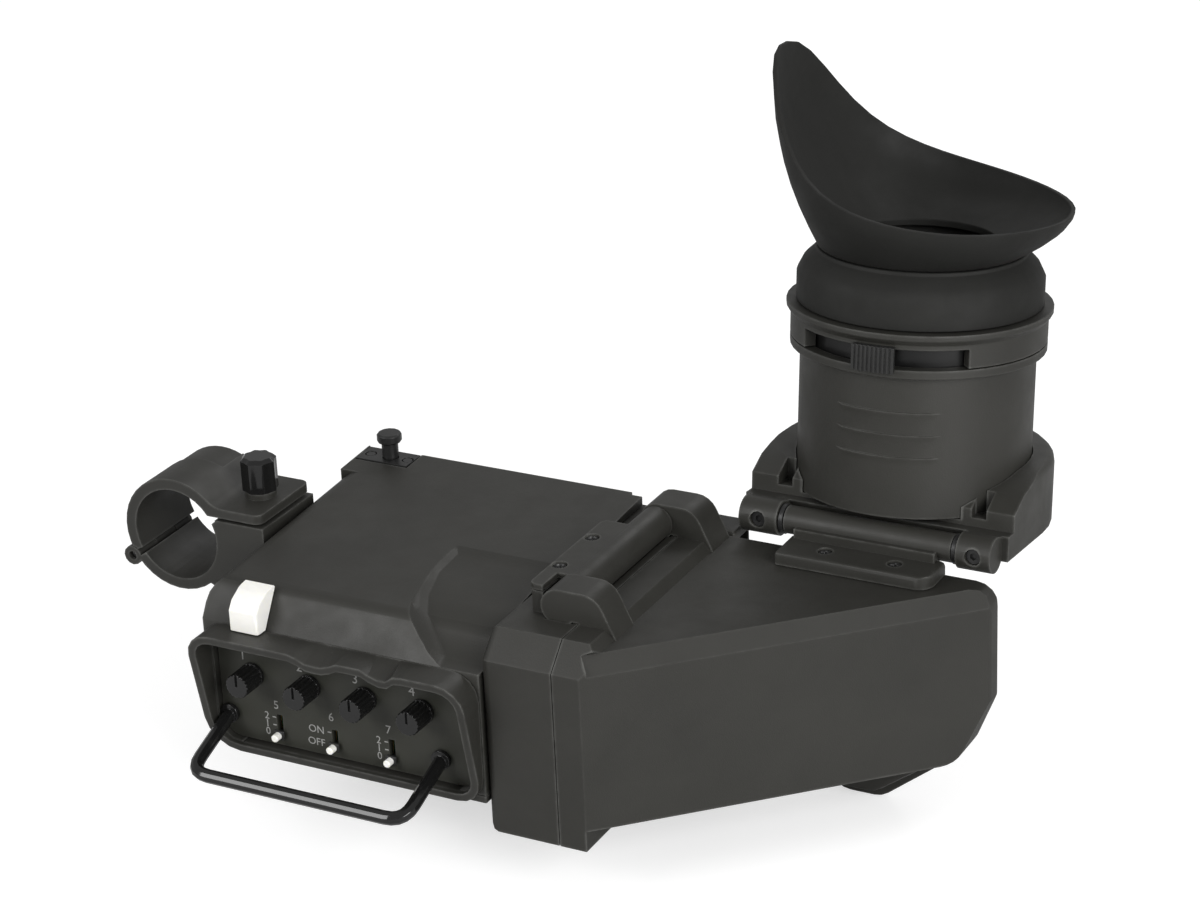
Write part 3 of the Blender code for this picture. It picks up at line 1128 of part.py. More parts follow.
def eyepiece_base():
    body = slab_of(base_outline(), "XY", BASE_BOTTOM, BASE_TOP)
    soften(body, BASE_EDGE, 3,
           lambda a, b: min(a.z, b.z) > BASE_BOTTOM + GAP and max(a.y, b.y) > BASE_FRONT + GAP)
    base = add("eyepiece_base", body, PAINT, TURN)
    left = AXIS_X - BASE_HALF_WIDTH - OVERRUN
    right = AXIS_X + BASE_HALF_WIDTH + OVERRUN
    front = BASE_FRONT - OVERRUN
    far = AXIS_V + BASE_HALF_WIDTH + OVERRUN
    low = BASE_BOTTOM - OVERRUN
    high = BASE_TOP + OVERRUN
    side_view = [
        (front, low), (far, low), (far, high), (BASE_TOP_V, high), (BASE_TOP_V, BASE_TOP),
        (BASE_SHOULDER_V, BASE_SHOULDER_HIGH), (BASE_SHELF_V, BASE_SHELF_HIGH), (BASE_FOOT_V, BASE_FOOT_HIGH),
        (BASE_FOOT_V, BASE_LEDGE), (front, BASE_LEDGE),
    ]
    trim(base, TURN, slab_of(side_view, "YZ", left, right))
    for start, end in ((KNUCKLE_LEFT, KNUCKLE_LEFT_END), (KNUCKLE_RIGHT_START, KNUCKLE_RIGHT)):
        join(base, TURN, rod((start, 0.0, 0.0), (end, 0.0, 0.0), KNUCKLE_RADIUS, ROUND_SIDES))
    window = filleted([
        (AXIS_X - WINDOW_HALF_WIDTH, AXIS_V - BASE_WINDOW_BEFORE, BASE_WINDOW_ROUND),
        (AXIS_X + WINDOW_HALF_WIDTH, AXIS_V - BASE_WINDOW_BEFORE, BASE_WINDOW_ROUND),
        (AXIS_X + WINDOW_HALF_WIDTH, AXIS_V + BASE_WINDOW_BEHIND, BASE_WINDOW_ROUND),
        (AXIS_X - WINDOW_HALF_WIDTH, AXIS_V + BASE_WINDOW_BEHIND, BASE_WINDOW_ROUND),
    ])
    cut(
        base, TURN,
        box((KNUCKLE_LEFT_END, front - OVERRUN, low - OVERRUN), (KNUCKLE_RIGHT_START, 0.0, TUBE_BOTTOM)),
        box((left, front - OVERRUN, low - OVERRUN), (KNUCKLE_LEFT, BASE_FLANK_V, high)),
        box((KNUCKLE_RIGHT, front - OVERRUN, low - OVERRUN), (right, BASE_FLANK_V, high)),
        rod((KNUCKLE_LEFT_END, 0.0, 0.0), (KNUCKLE_RIGHT_START, 0.0, 0.0), TURN_BARREL_RADIUS + BARREL_ROOM,
            ROUND_SIDES),
        rod((AXIS_X, AXIS_V, TUBE_BOTTOM - GAP), (AXIS_X, AXIS_V, high), TUBE_RADIUS + GAP, BIG_SIDES),
        slab_of(window, "XY", low, TUBE_BOTTOM),
        rod((KNUCKLE_LEFT - OVERRUN, 0.0, 0.0), (KNUCKLE_RIGHT - TURN_PIN_COVER + GAP, 0.0, 0.0),
            TURN_PIN_BORE, SMALL_SIDES),
    )
    for side in (-1, 1):
        x = AXIS_X + side * (BASE_HALF_WIDTH - NOTCH_FROM_SIDE)
        cut(base, TURN, box((x - NOTCH_WIDTH / 2, BASE_FOOT_V - OVERRUN, NOTCH_FLOOR),
                            (x + NOTCH_WIDTH / 2, BASE_FOOT_V + NOTCH_RUN, high)))
    for x in ((KNUCKLE_LEFT + KNUCKLE_LEFT_END) / 2, (KNUCKLE_RIGHT_START + KNUCKLE_RIGHT) / 2):
        cut(base, TURN, rod((x, -KNUCKLE_RADIUS - OVERRUN, 0.0), (x, -TURN_PIN_RADIUS, 0.0),
                            SET_HOLE_RADIUS, SMALL_SIDES))


def washers():
    discs = []
    for start, side in ((TURN_BARREL_LEFT, -1), (TURN_BARREL_RIGHT, 1)):
        near = start + side * GAP
        washer = rod((near, 0.0, 0.0), (near + side * WASHER_THICK, 0.0, 0.0), WASHER_RADIUS, ROUND_SIDES)
        discs.append((near + side * WASHER_THICK / 2, washer))
    pin = TURN_PIN_BORE
    for number, (x, disc) in enumerate(discs):
        piece = add("hinge_washer_" + ("left", "right")[number], disc, STEEL, TURN)
        cut(piece, TURN, rod((x - OVERRUN, 0.0, 0.0), (x + OVERRUN, 0.0, 0.0), pin, SMALL_SIDES))


def sector(inner, outer, low, high, start, end, steps=10):
    """Block between two radii, two heights and two angles about Z."""
    points = arc((0.0, 0.0), outer, start / DEG, end / DEG, steps)
    points += reversed(arc((0.0, 0.0), inner, start / DEG, end / DEG, steps))
    return slab_of(points, "XY", low, high)


def rib(top):
    """Thin rib round part of the tube, proud at its upper edge and fading below and at its ends."""
    bm = bmesh.new()
    loops = []
    root = TUBE_RADIUS - RIB_ROOT
    for step in range(RIB_STEPS + 1):
        angle = RIB_START + (RIB_END - RIB_START) * step / RIB_STEPS
        sunk = step in (0, RIB_STEPS)
        crest = TUBE_RADIUS - RIB_ROOT / 4 if sunk else TUBE_RADIUS + RIB_PROUD
        section = ((root, top), (crest, top), (TUBE_RADIUS - RIB_ROOT / 4, top - RIB_FALL),
                   (root, top - RIB_FALL))
        loops.append([
            bm.verts.new((radius * math.cos(angle), radius * math.sin(angle), height))
            for radius, height in section
        ])
    for here, there in zip(loops, loops[1:]):
        for number in range(len(here)):
            after = (number + 1) % len(here)
            bm.faces.new((here[number], there[number], there[after], here[after]))
    bm.faces.new(loops[0])
    bm.faces.new(loops[-1])
    bmesh.ops.recalc_face_normals(bm, faces=bm.faces)
    return bm


def eyepiece_tube():
    ledge = TUBE_INNER - TUBE_LEDGE_WIDTH
    profile = [
        (TUBE_INNER, TUBE_BOTTOM), (TUBE_RADIUS, TUBE_BOTTOM), (TUBE_RADIUS, TUBE_TOP),
        (TUBE_INNER, TUBE_TOP),
        (TUBE_INNER, TUBE_LEDGE_HIGH), (ledge, TUBE_LEDGE_HIGH), (ledge, TUBE_LEDGE_LOW),
        (TUBE_INNER, TUBE_LEDGE_LOW),
    ]
    tube = add("eyepiece_tube", turned(profile), PAINT, OPTIC)
    for drop in RIB_DROPS:
        join(tube, OPTIC, rib(TUBE_TOP - drop))


def collar():
    ring_top = TUBE_TOP + GAP + COLLAR_RING_TALL
    ring = [
        (COLLAR_INNER, TUBE_TOP + GAP), (COLLAR_RADIUS - GAP, TUBE_TOP + GAP),
        (COLLAR_RADIUS, TUBE_TOP + GAP * 2), (COLLAR_RADIUS, ring_top), (COLLAR_INNER, ring_top),
    ]
    add("collar_ring", turned(ring), PAINT, OPTIC)
    low = ring_top + GAP
    lip = COLLAR_INNER - COLLAR_LIP_WIDTH
    body = [
        (COLLAR_INNER, low), (COLLAR_RADIUS, low), (COLLAR_RADIUS, COLLAR_TOP - BRIM_TALL * 2),
        (BRIM_RADIUS, COLLAR_TOP - BRIM_TALL), (BRIM_RADIUS, COLLAR_TOP), (lip, COLLAR_TOP),
        (lip, COLLAR_TOP - COLLAR_LIP_THICK), (COLLAR_INNER, COLLAR_TOP - COLLAR_LIP_THICK),
    ]
    ring = add("collar", turned(body), PAINT, OPTIC)
    cut(ring, OPTIC,
        sector(COLLAR_INNER - OVERRUN, BRIM_RADIUS + OVERRUN, low - OVERRUN, low + FOCUS_SLOT_TALL,
                            FOCUS_REST - FOCUS_SLOT_HALF, FOCUS_REST + FOCUS_SLOT_HALF, 14))


def focus_ring():
    low = TUBE_TOP + GAP
    profile = [
        (FOCUS_RING_INNER, low), (FOCUS_RING_RADIUS, low),
        (FOCUS_RING_RADIUS, FOCUS_RING_TOP), (FOCUS_RING_INNER, FOCUS_RING_TOP),
    ]
    ring = add("focus_ring", turned(profile), BLACK_PLASTIC, FOCUS)
    slot_low = low + COLLAR_RING_TALL + GAP
    middle = slot_low + FOCUS_SLOT_TALL / 2
    inner = COLLAR_RADIUS + GAP
    outer = inner + FOCUS_LEVER_THICK
    stem_half = FOCUS_STEM_WIDTH / COLLAR_RADIUS / 2
    lever_half = FOCUS_LEVER_WIDTH / COLLAR_RADIUS / 2
    stem = sector(FOCUS_RING_RADIUS - OVERRUN / 2, inner + GAP, middle - FOCUS_STEM_TALL / 2,
                  middle + FOCUS_STEM_TALL / 2, FOCUS_REST - stem_half, FOCUS_REST + stem_half, 3)
    lever = sector(inner, outer, middle - FOCUS_LEVER_TALL / 2, middle + FOCUS_LEVER_TALL / 2,
                   FOCUS_REST - lever_half, FOCUS_REST + lever_half, 5)
    join(ring, FOCUS, stem, lever)
    for number in range(FOCUS_LEVER_RIBS):
        share = (number + 0.5) / FOCUS_LEVER_RIBS - 0.5
        angle = FOCUS_REST + share * 2 * lever_half * FOCUS_GRIP_SHARE
        half = lever_half / FOCUS_LEVER_RIBS * FOCUS_GROOVE_SHARE
        cut(ring, FOCUS, sector(outer - FOCUS_LEVER_RIB_DEPTH, outer + OVERRUN, middle - FOCUS_LEVER_TALL,
                                middle + FOCUS_LEVER_TALL, angle - half, angle + half, 1))


def lens_profile(radius, low, edge, crown, steps=LENS_STEPS):
    """Half section of a lens that bulges on both sides, from the axis out and back."""
    points = []
    for step in range(steps + 1):
        share = step / steps
        points.append((radius * share, low - crown * (1 - share * share) / 2))
    for step in range(steps + 1):
        share = 1 - step / steps
        points.append((radius * share, low + edge + crown * (1 - share * share)))
    return points


def lenses():
    cell = [
        (CELL_SEAT_INNER, CELL_LOW), (CELL_RADIUS, CELL_LOW), (CELL_RADIUS, CELL_LOW + CELL_TALL),
        (CELL_INNER, CELL_LOW + CELL_TALL), (CELL_INNER, CELL_LOW + CELL_SEAT_TALL),
        (CELL_SEAT_INNER, CELL_LOW + CELL_SEAT_TALL),
    ]
    add("lens_cell", turned(cell), BLACK_PLASTIC, LENS)
    seat = CELL_LOW + CELL_SEAT_TALL + GAP
    add("eye_lens", turned(lens_profile(EYE_LENS_RADIUS, seat, EYE_LENS_EDGE, EYE_LENS_CROWN)), GLASS, LENS)
    low = seat + EYE_LENS_EDGE + 2 * GAP
    retainer_inner = EYE_LENS_RADIUS - RETAINER_WIDTH
    ring = [
        (retainer_inner, low), (EYE_LENS_RADIUS, low),
        (EYE_LENS_RADIUS, low + RETAINER_TALL), (retainer_inner, low + RETAINER_TALL),
    ]
    add("retaining_ring", turned(ring), BLACK_METAL, LENS)
    seat = TUBE_LEDGE_HIGH + GAP
    add("field_lens", turned(lens_profile(FIELD_LENS_RADIUS, seat, FIELD_LENS_EDGE, FIELD_LENS_CROWN)),
        GLASS, OPTIC)


def rubber_neck():
    low = COLLAR_TOP + GAP
    fillet = (NECK_RADIUS - NECK_TOP_RADIUS) / 3
    profile = [
        (NECK_RADIUS - NECK_WALL, low), (NECK_RADIUS, low), (NECK_RADIUS, NECK_SHOULDER - fillet),
        (NECK_RADIUS - fillet, NECK_SHOULDER + fillet), (NECK_TOP_RADIUS, NECK_TOP - fillet / 2),
        (NECK_TOP_RADIUS, NECK_TOP), (NECK_TOP_INNER, NECK_TOP), (NECK_TOP_INNER, NECK_SHOULDER + fillet),
        (NECK_RADIUS - NECK_WALL, NECK_SHOULDER - fillet),
    ]
    add("rubber_neck", turned(profile), RUBBER, OPTIC)


def cup_rim(angle):
    """Radius and height of the eyecup's rim in a direction round the axis."""
    away = (angle - CUP_WING_ANGLE + math.pi) % (2 * math.pi) - math.pi
    wing = 1 / (1 + abs(away / CUP_WING_SPREAD) ** CUP_WING_POWER)
    aside = (angle - CUP_POINT_ANGLE + math.pi) % (2 * math.pi) - math.pi
    point = math.exp(-(aside / CUP_POINT_SPREAD) ** 2)
    radius = CUP_RIM_RADIUS + CUP_POINT_REACH * point + CUP_WING_REACH * wing
    return radius, CUP_RIM_LOW + CUP_WING_RISE * wing


def cup_section(angle):
    """Loop of (radius, height) points: up the outside, over the rim and down the inside."""
    rim_radius, rim_height = cup_rim(angle)
    low = NECK_TOP + GAP
    outer = []
    inner = []
    for step in range(CUP_STEPS + 1):
        share = step / CUP_STEPS
        swell = 1 - (1 - share) ** CUP_OUTER_POWER
        outer.append((CUP_BASE_RADIUS + (rim_radius - CUP_BASE_RADIUS) * swell,
                      low + (rim_height - low) * share))
        start = low + CUP_HOLE_LIP
        swell = 1 - (1 - share) ** CUP_INNER_POWER
        edge = rim_radius - CUP_RIM_THICK
        inner.append((CUP_HOLE_RADIUS + (edge - CUP_HOLE_RADIUS) * swell,
                      start + (rim_height - start) * share))
    return outer + inner[::-1] + [(CUP_HOLE_RADIUS, low)]


def eyecup():
    """Loft of the section round the axis, because its rim rises into a wing."""
    bm = bmesh.new()
    rings = []
    for number in range(CUP_AROUND):
        angle = 2 * math.pi * number / CUP_AROUND
        rings.append([
            bm.verts.new((radius * math.cos(angle), radius * math.sin(angle), height))
            for radius, height in cup_section(angle)
        ])
    count = len(rings[0])
    for number in range(CUP_AROUND):
        here = rings[number]
        there = rings[(number + 1) % CUP_AROUND]
        for step in range(count):
            after = (step + 1) % count
            bm.faces.new((here[step], there[step], there[after], here[after]))
    bmesh.ops.recalc_face_normals(bm, faces=bm.faces)
    bmesh.ops.triangulate(bm, faces=bm.faces)
    add("eyecup", bm, RUBBER, CUP)


def scoop_cutter():
    """Loft along Y for the recess in the box's top, with a sloped left wall and a soft foot."""
    high = BOX_BACK_TOP + OVERRUN
    right = BOX_RIGHT + OVERRUN
    bm = bmesh.new()
    loops = []
    for y, drop, width in SCOOP_SECTIONS:
        floor = SLAB_HEIGHT - drop
        section = [(right, high), (right, floor)]
        for step in range(SCOOP_WALL_STEPS + 1):
            z = floor + (high - floor) * (step / SCOOP_WALL_STEPS) ** 2
            soft = max(0.0, 1 - (z - floor) / SCOOP_SOFT) ** 2 * SCOOP_SOFT / 2
            section.append((BOX_RIGHT - width + box_top(y) - z + soft, z))
        loops.append([bm.verts.new((x, y, z)) for x, z in section])
    for here, there in zip(loops, loops[1:]):
        for number in range(len(here)):
            after = (number + 1) % len(here)
            bm.faces.new((here[number], there[number], there[after], here[after]))
    bm.faces.new(loops[0])
    bm.faces.new(loops[-1])
    bmesh.ops.triangulate(bm, faces=bm.faces)
    return bm


def top_edge_cutter():
    """Rounds the box's long top left edge, up to the square block at the back."""
    low = BOX_CREST_Z - BOX_TOP_ROUND
    inner = BOX_LEFT + BOX_TOP_ROUND
    points = [(BOX_LEFT - OVERRUN, BOX_CREST_Z + OVERRUN), (BOX_LEFT - OVERRUN, low)]
    points += arc((inner, low), BOX_TOP_ROUND, 180, 90, CORNER_STEPS)
    points.append((inner, BOX_CREST_Z + OVERRUN))
    bm = slab_of(points, "XZ", -OVERRUN, BOX_BACK - BOX_BLOCK_DEPTH)
    for vert in bm.verts:
        vert.co.z += BOX_TOP_SLOPE * (vert.co.y - BOX_CREST_Y)
    return bm


def control_box():
    profile = filleted([
        (0.0, BOX_FLOOR, 0), (BOX_BACK, BOX_FLOOR, 0), (BOX_BACK, BOX_BACK_TOP, 0),
        (BOX_CREST_Y, BOX_CREST_Z, BOX_CREST_ROUND), (0.0, BOX_FRONT_TOP, 0),
    ])
    shell = add("control_box", slab_of(profile, "YZ", BOX_LEFT, BOX_RIGHT), PAINT, ROOT)
    high = BOX_BACK_TOP + OVERRUN
    section = filleted([
        (BOX_LEFT, BOX_FLOOR, BOX_BOTTOM_ROUND), (BOX_RIGHT, BOX_FLOOR, 0), (BOX_RIGHT, high, 0),
        (BOX_LEFT, high, 0),
    ])
    trim(shell, ROOT, slab_of(section, "XZ", -OVERRUN, BOX_BACK + OVERRUN))
    lip = [(LIP_FRONT, SLAB_HEIGHT + GAP), (LIP_BACK, SLAB_HEIGHT + GAP), (LIP_BACK, box_top(LIP_BACK)),
           (LIP_FRONT, box_top(LIP_FRONT))]
    join(shell, ROOT, slab_of(lip, "YZ", BOX_RIGHT - OVERRUN, LIP_RIGHT))
    start = PANEL_FACE + PANEL_THICK
    slope = CAVITY_TOP - OPENING_TOP
    cavity = [
        (start, BOX_FLOOR), (CAVITY_BACK, BOX_FLOOR), (CAVITY_BACK, CAVITY_TOP),
        (start + 2 * slope, CAVITY_TOP), (start + slope, OPENING_TOP), (start, OPENING_TOP),
    ]
    hollow = add("cavity", slab_of(cavity, "YZ", OPENING_LEFT, OPENING_RIGHT), PAINT, ROOT, CUTTERS)
    hollow.hide_render = True
    hollow.display_type = "WIRE"
    inside = filleted([
        (OPENING_LEFT, OPENING_BOTTOM, BOX_BOTTOM_ROUND - BOX_WALL), (OPENING_RIGHT, OPENING_BOTTOM, 0),
        (OPENING_RIGHT, high, 0), (OPENING_LEFT, high, 0),
    ])
    trim(hollow, ROOT, slab_of(inside, "XZ", 0.0, BOX_BACK))
    modifier = shell.modifiers.new("difference", "BOOLEAN")
    modifier.operation = "DIFFERENCE"
    modifier.solver = "EXACT"
    modifier.object = hollow
    opening = rounded_outline(OPENING_LEFT, OPENING_RIGHT, OPENING_BOTTOM, OPENING_TOP, OPENING_ROUND)
    cut(
        shell, ROOT,
        scoop_cutter(),
        top_edge_cutter(),
        slab_of(opening, "XZ", -OVERRUN, start + GAP),
        box((COVER_LEFT - GAP, -OVERRUN, BOX_FLOOR - OVERRUN),
            (BOX_RIGHT + OVERRUN, BOX_BACK + OVERRUN, OPENING_BOTTOM)),
        box((SLIDE_LEFT - GAP, SLIDE_FRONT - GAP, SLIDE_BOTTOM - GAP),
            (SLIDE_RIGHT + GAP, BOX_BACK + OVERRUN, SLIDE_TOP + GAP)),
        box((BOX_LEFT - OVERRUN, SLIDE_FLOOR, SLIDE_GROOVE_BOTTOM),
            (SLIDE_LEFT, BOX_BACK + OVERRUN, SLIDE_GROOVE_TOP)),
        box((STOP_PLATE_LEFT - GAP, STOP_PLATE_FRONT - GAP, STOP_PLATE_FLOOR),
            (STOP_PLATE_RIGHT + GAP, BOX_BACK + OVERRUN, high)),
        rod((STOP_X, STOP_Y, STOP_POCKET_FLOOR), (STOP_X, STOP_Y, BOX_BACK_TOP), STOP_POCKET_RADIUS,
            SMALL_SIDES),
        rod((STOP_X, STOP_Y, SLIDE_TOP - GAP), (STOP_X, STOP_Y, BOX_BACK_TOP), STOP_RADIUS + GAP,
            SMALL_SIDES),
    )
    top = STOP_PLATE_FLOOR + STOP_PLATE_THICK
    for offset in STOP_SCREW_OFFSETS:
        cut(shell, ROOT, rod((STOP_X + offset, STOP_Y, top - STOP_SCREW_LENGTH),
                             (STOP_X + offset, STOP_Y, high), STOP_SCREW_RADIUS + SCREW_CLEARANCE,
                             SMALL_SIDES))
    for x in SLIDE_SCREW_PLACES:
        z = DATUM.z
        cut(shell, ROOT,
            rod((x, SLIDE_FLOOR - SLIDE_SCREW_SUNK - SLIDE_SCREW_LENGTH - GAP, z), (x, SLIDE_FRONT, z),
                             SLIDE_SCREW_RADIUS + SCREW_CLEARANCE, SMALL_SIDES))


def base_cover():
    top = BOX_FLOOR + COVER_THICK
    cover = add("base_cover", box((COVER_LEFT, 0.0, BOX_FLOOR), (BOX_RIGHT, BOX_BACK, top)), PAINT, ROOT)
    low = BOX_FLOOR + COVER_SCREW_SUNK
    number = 0
    for x in (COVER_LEFT + COVER_SCREW_INSET, BOX_RIGHT - COVER_SCREW_INSET):
        for y in (COVER_FRONT + COVER_SCREW_INSET, BOX_BACK - COVER_SCREW_INSET):
            number += 1
            cut(cover, ROOT, rod((x, y, BOX_FLOOR - OVERRUN), (x, y, top + OVERRUN),
                                 COVER_SCREW_RADIUS + SCREW_CLEARANCE, SMALL_SIDES))
            screw = rod((x, y, low), (x, y, top), COVER_SCREW_RADIUS, SMALL_SIDES)
            add("cover_screw_%d" % number, screw, BLACK_METAL, ROOT)


def slide_channel():
    bar = box((SLIDE_LEFT, SLIDE_FRONT, SLIDE_BOTTOM), (SLIDE_RIGHT, BOX_BACK, SLIDE_TOP))
    channel = add("slide_channel", bar, DARK_METAL, ROOT)
    left = SLIDE_LEFT - OVERRUN
    cut(
        channel, ROOT,
        box((left, SLIDE_FLOOR, SLIDE_GROOVE_BOTTOM),
            (SLIDE_RIGHT - BOX_WALL, SLIDE_LIP_FRONT, SLIDE_GROOVE_TOP)),
        box((left, SLIDE_FLOOR, SLIDE_MOUTH_BOTTOM),
            (SLIDE_RIGHT - BOX_WALL, BOX_BACK + OVERRUN, SLIDE_MOUTH_TOP)),
        rod((STOP_X, STOP_Y, SLIDE_MOUTH_TOP), (STOP_X, STOP_Y, SLIDE_TOP + OVERRUN), STOP_RADIUS + GAP,
            SMALL_SIDES),
    )
    z = DATUM.z
    head = SLIDE_FLOOR - SLIDE_SCREW_SUNK
    for number, x in enumerate(SLIDE_SCREW_PLACES):
        cut(channel, ROOT, rod((x, SLIDE_FRONT - OVERRUN, z), (x, SLIDE_FLOOR + OVERRUN, z),
                               SLIDE_SCREW_RADIUS + SCREW_CLEARANCE, SMALL_SIDES))
        add("slide_screw_%d" % (number + 1), rod((x, head - SLIDE_SCREW_LENGTH, z), (x, head, z),
                                                 SLIDE_SCREW_RADIUS, SMALL_SIDES), STEEL, ROOT)


def stop_pin():
    floor = STOP_PLATE_FLOOR + GAP
    top = floor + STOP_PLATE_THICK - GAP
    plate = add("stop_plate", box((STOP_PLATE_LEFT, STOP_PLATE_FRONT, floor),
                                  (STOP_PLATE_RIGHT, STOP_PLATE_BACK, top)), BLACK_METAL, ROOT)
    cut(plate, ROOT, rod((STOP_X, STOP_Y, floor - OVERRUN), (STOP_X, STOP_Y, top + OVERRUN),
                         STOP_RADIUS + GAP, SMALL_SIDES))
    for offset in STOP_SCREW_OFFSETS:
        x = STOP_X + offset
        cut(plate, ROOT, rod((x, STOP_Y, floor - OVERRUN), (x, STOP_Y, top + OVERRUN),
                             STOP_SCREW_RADIUS + SCREW_CLEARANCE, SMALL_SIDES))
    collar_low = STOP_POCKET_FLOOR + GAP
    collar_high = collar_low + STOP_COLLAR_THICK
    neck = top + GAP
    cap_low = STOP_CAP_TOP - STOP_CAP_THICK
    tip = STOP_RADIUS * STOP_TIP_SHARE
    profile = [
        (0.0, STOP_TIP), (tip, STOP_TIP), (STOP_RADIUS, STOP_TIP + STOP_RADIUS - tip),
        (STOP_RADIUS, collar_low), (STOP_COLLAR_RADIUS, collar_low), (STOP_COLLAR_RADIUS, collar_high),
        (STOP_RADIUS, collar_high), (STOP_RADIUS, neck), (STOP_NECK_RADIUS, neck),
        (STOP_NECK_RADIUS, cap_low),
        (STOP_CAP_RADIUS - STOP_CAP_EDGE, cap_low), (STOP_CAP_RADIUS, cap_low + STOP_CAP_EDGE),
        (STOP_CAP_RADIUS, STOP_CAP_TOP - STOP_CAP_EDGE), (STOP_CAP_RADIUS - STOP_CAP_EDGE, STOP_CAP_TOP),
        (0.0, STOP_CAP_TOP),
    ]
    add("stop_pin", turned(profile, SMALL_SIDES), BLACK_METAL, STOP)
    stop_spring(collar_high + GAP + SPRING_WIRE, STOP_PLATE_FLOOR - SPRING_WIRE)


def stop_spring(low, high):
    """Open coil round the pin, between its collar and the plate."""
    curve = bpy.data.curves.new("stop_spring", "CURVE")
    curve.dimensions = "3D"
    curve.bevel_depth = SPRING_WIRE
    curve.bevel_resolution = 1
    curve.use_fill_caps = True
    spline = curve.splines.new("POLY")
    count = SPRING_TURNS * SPRING_TURN_POINTS
    spline.points.add(count)
    for number, point in enumerate(spline.points):
        angle = 2 * math.pi * number / SPRING_TURN_POINTS
        height = low + (high - low) * number / count
        point.co = (SPRING_RADIUS * math.cos(angle), SPRING_RADIUS * math.sin(angle), height, 1.0)
    item = bpy.data.objects.new("stop_spring", curve)
    item.location = (STOP_X, STOP_Y, 0.0)
    item.parent = ROOT.empty
    curve.materials.append(STEEL)
    PARTS.objects.link(item)


def waved_outline(wall, wave):
    """Hood's outline at one end, with or without the dips in its top edge."""
    left = BOX_LEFT + wall
    right = BOX_RIGHT - GAP - wall
    top = BOX_FRONT_TOP - wall
    corner = HOOD_ROUND - wall
    run = right - left - 2 * corner
    corners = [
        (left, BOX_FLOOR + wall, BOX_BOTTOM_ROUND - wall), (right, BOX_FLOOR + wall, corner),
        (right, top, corner),
    ]
    for step in range(1, HOOD_TOP_STEPS):
        corners.append((right - corner - run * step / HOOD_TOP_STEPS, top, 0))
    corners.append((left, top, corner))
    points = filleted(corners)
    if not wave:
        return points
    shaped = []
    for x, z in points:
        for share, half in HOOD_WAVES:
            away = (x - BOX_LEFT - share * BOX_WIDTH) / half
            if z > top - GAP:
                z -= HOOD_WAVE_DEPTH * math.exp(-away ** HOOD_WAVE_POWER)
        shaped.append((x, z))
    return shaped


def panel_hood():
    """Loft from a plain rim at the box to a slanted, waved rim in front."""
    tall = BOX_FRONT_TOP - BOX_FLOOR
    bm = bmesh.new()
    loops = []
    for wall in (0.0, HOOD_WALL):
        for wave in (True, False):
            loop = []
            for x, z in waved_outline(wall, wave):
                share = (z - BOX_FLOOR) / tall
                reach = HOOD_BOTTOM_REACH + (HOOD_TOP_REACH - HOOD_BOTTOM_REACH) * share
                loop.append(bm.verts.new((x, -reach if wave else -GAP, z)))
            loops.append(loop)
    outer_front, outer_back, inner_front, inner_back = loops
    for first, second in ((outer_front, outer_back), (outer_back, inner_back),
                          (inner_back, inner_front), (inner_front, outer_front)):
        for number in range(len(first)):
            after = (number + 1) % len(first)
            bm.faces.new((first[number], first[after], second[after], second[number]))
    bmesh.ops.recalc_face_normals(bm, faces=bm.faces)
    bmesh.ops.triangulate(bm, faces=bm.faces)
    add("panel_hood", bm, PAINT, ROOT)


def control_panel():
    left = BOX_LEFT + BOX_WALL + GAP
    right = BOX_RIGHT - BOX_WALL - GAP
    bottom = BOX_FLOOR + COVER_THICK + 2 * GAP
    back = PANEL_FACE + PANEL_THICK
    outline = rounded_outline(left, right, bottom, OPENING_TOP - GAP, OPENING_ROUND - GAP)
    panel = add("control_panel", slab_of(outline, "XZ", PANEL_FACE, back), PANEL_PAINT, ROOT)
    for x in KNOB_PLACES:
        cut(panel, ROOT, rod((x, PANEL_FACE - OVERRUN, KNOB_Z), (x, back + OVERRUN, KNOB_Z),
                             KNOB_SHAFT_RADIUS + GAP, SMALL_SIDES))
    for x, travel in zip(SWITCH_PLACES, SWITCH_TRAVELS):
        half = SWITCH_STEM / 2 + GAP
        cut(panel, ROOT, box((x - half, PANEL_FACE - OVERRUN, SWITCH_Z - half),
                             (x + half, back + OVERRUN, SWITCH_Z + travel + half)))


def knobs():
    for number, x in enumerate(KNOB_PLACES):
        frame = Frame("knob_axis_%d" % (number + 1), ROOT, (x, 0.0, KNOB_Z), drawn_at=(x, 0.0, KNOB_Z))
        back = PANEL_FACE - GAP
        front = back - KNOB_LENGTH
        body = rod((x, back, KNOB_Z), (x, front, KNOB_Z), KNOB_RADIUS, ROUND_SIDES)
        soften(body, KNOB_EDGE, 2, lambda a, b: max(a.y, b.y) < front + GAP)
        knob = add("knob_%d" % (number + 1), body, GLOSS_BLACK, frame)
        join(knob, frame, rod((x, back - OVERRUN, KNOB_Z), (x, back + KNOB_SHAFT_REACH, KNOB_Z),
                              KNOB_SHAFT_RADIUS, SMALL_SIDES))
        half = KNOB_SLOT_WIDTH / 2
        cut(knob, frame, box((x - half, front - OVERRUN, KNOB_Z),
                             (x + half, front + KNOB_SLOT_DEPTH, KNOB_Z + KNOB_RADIUS + OVERRUN)))


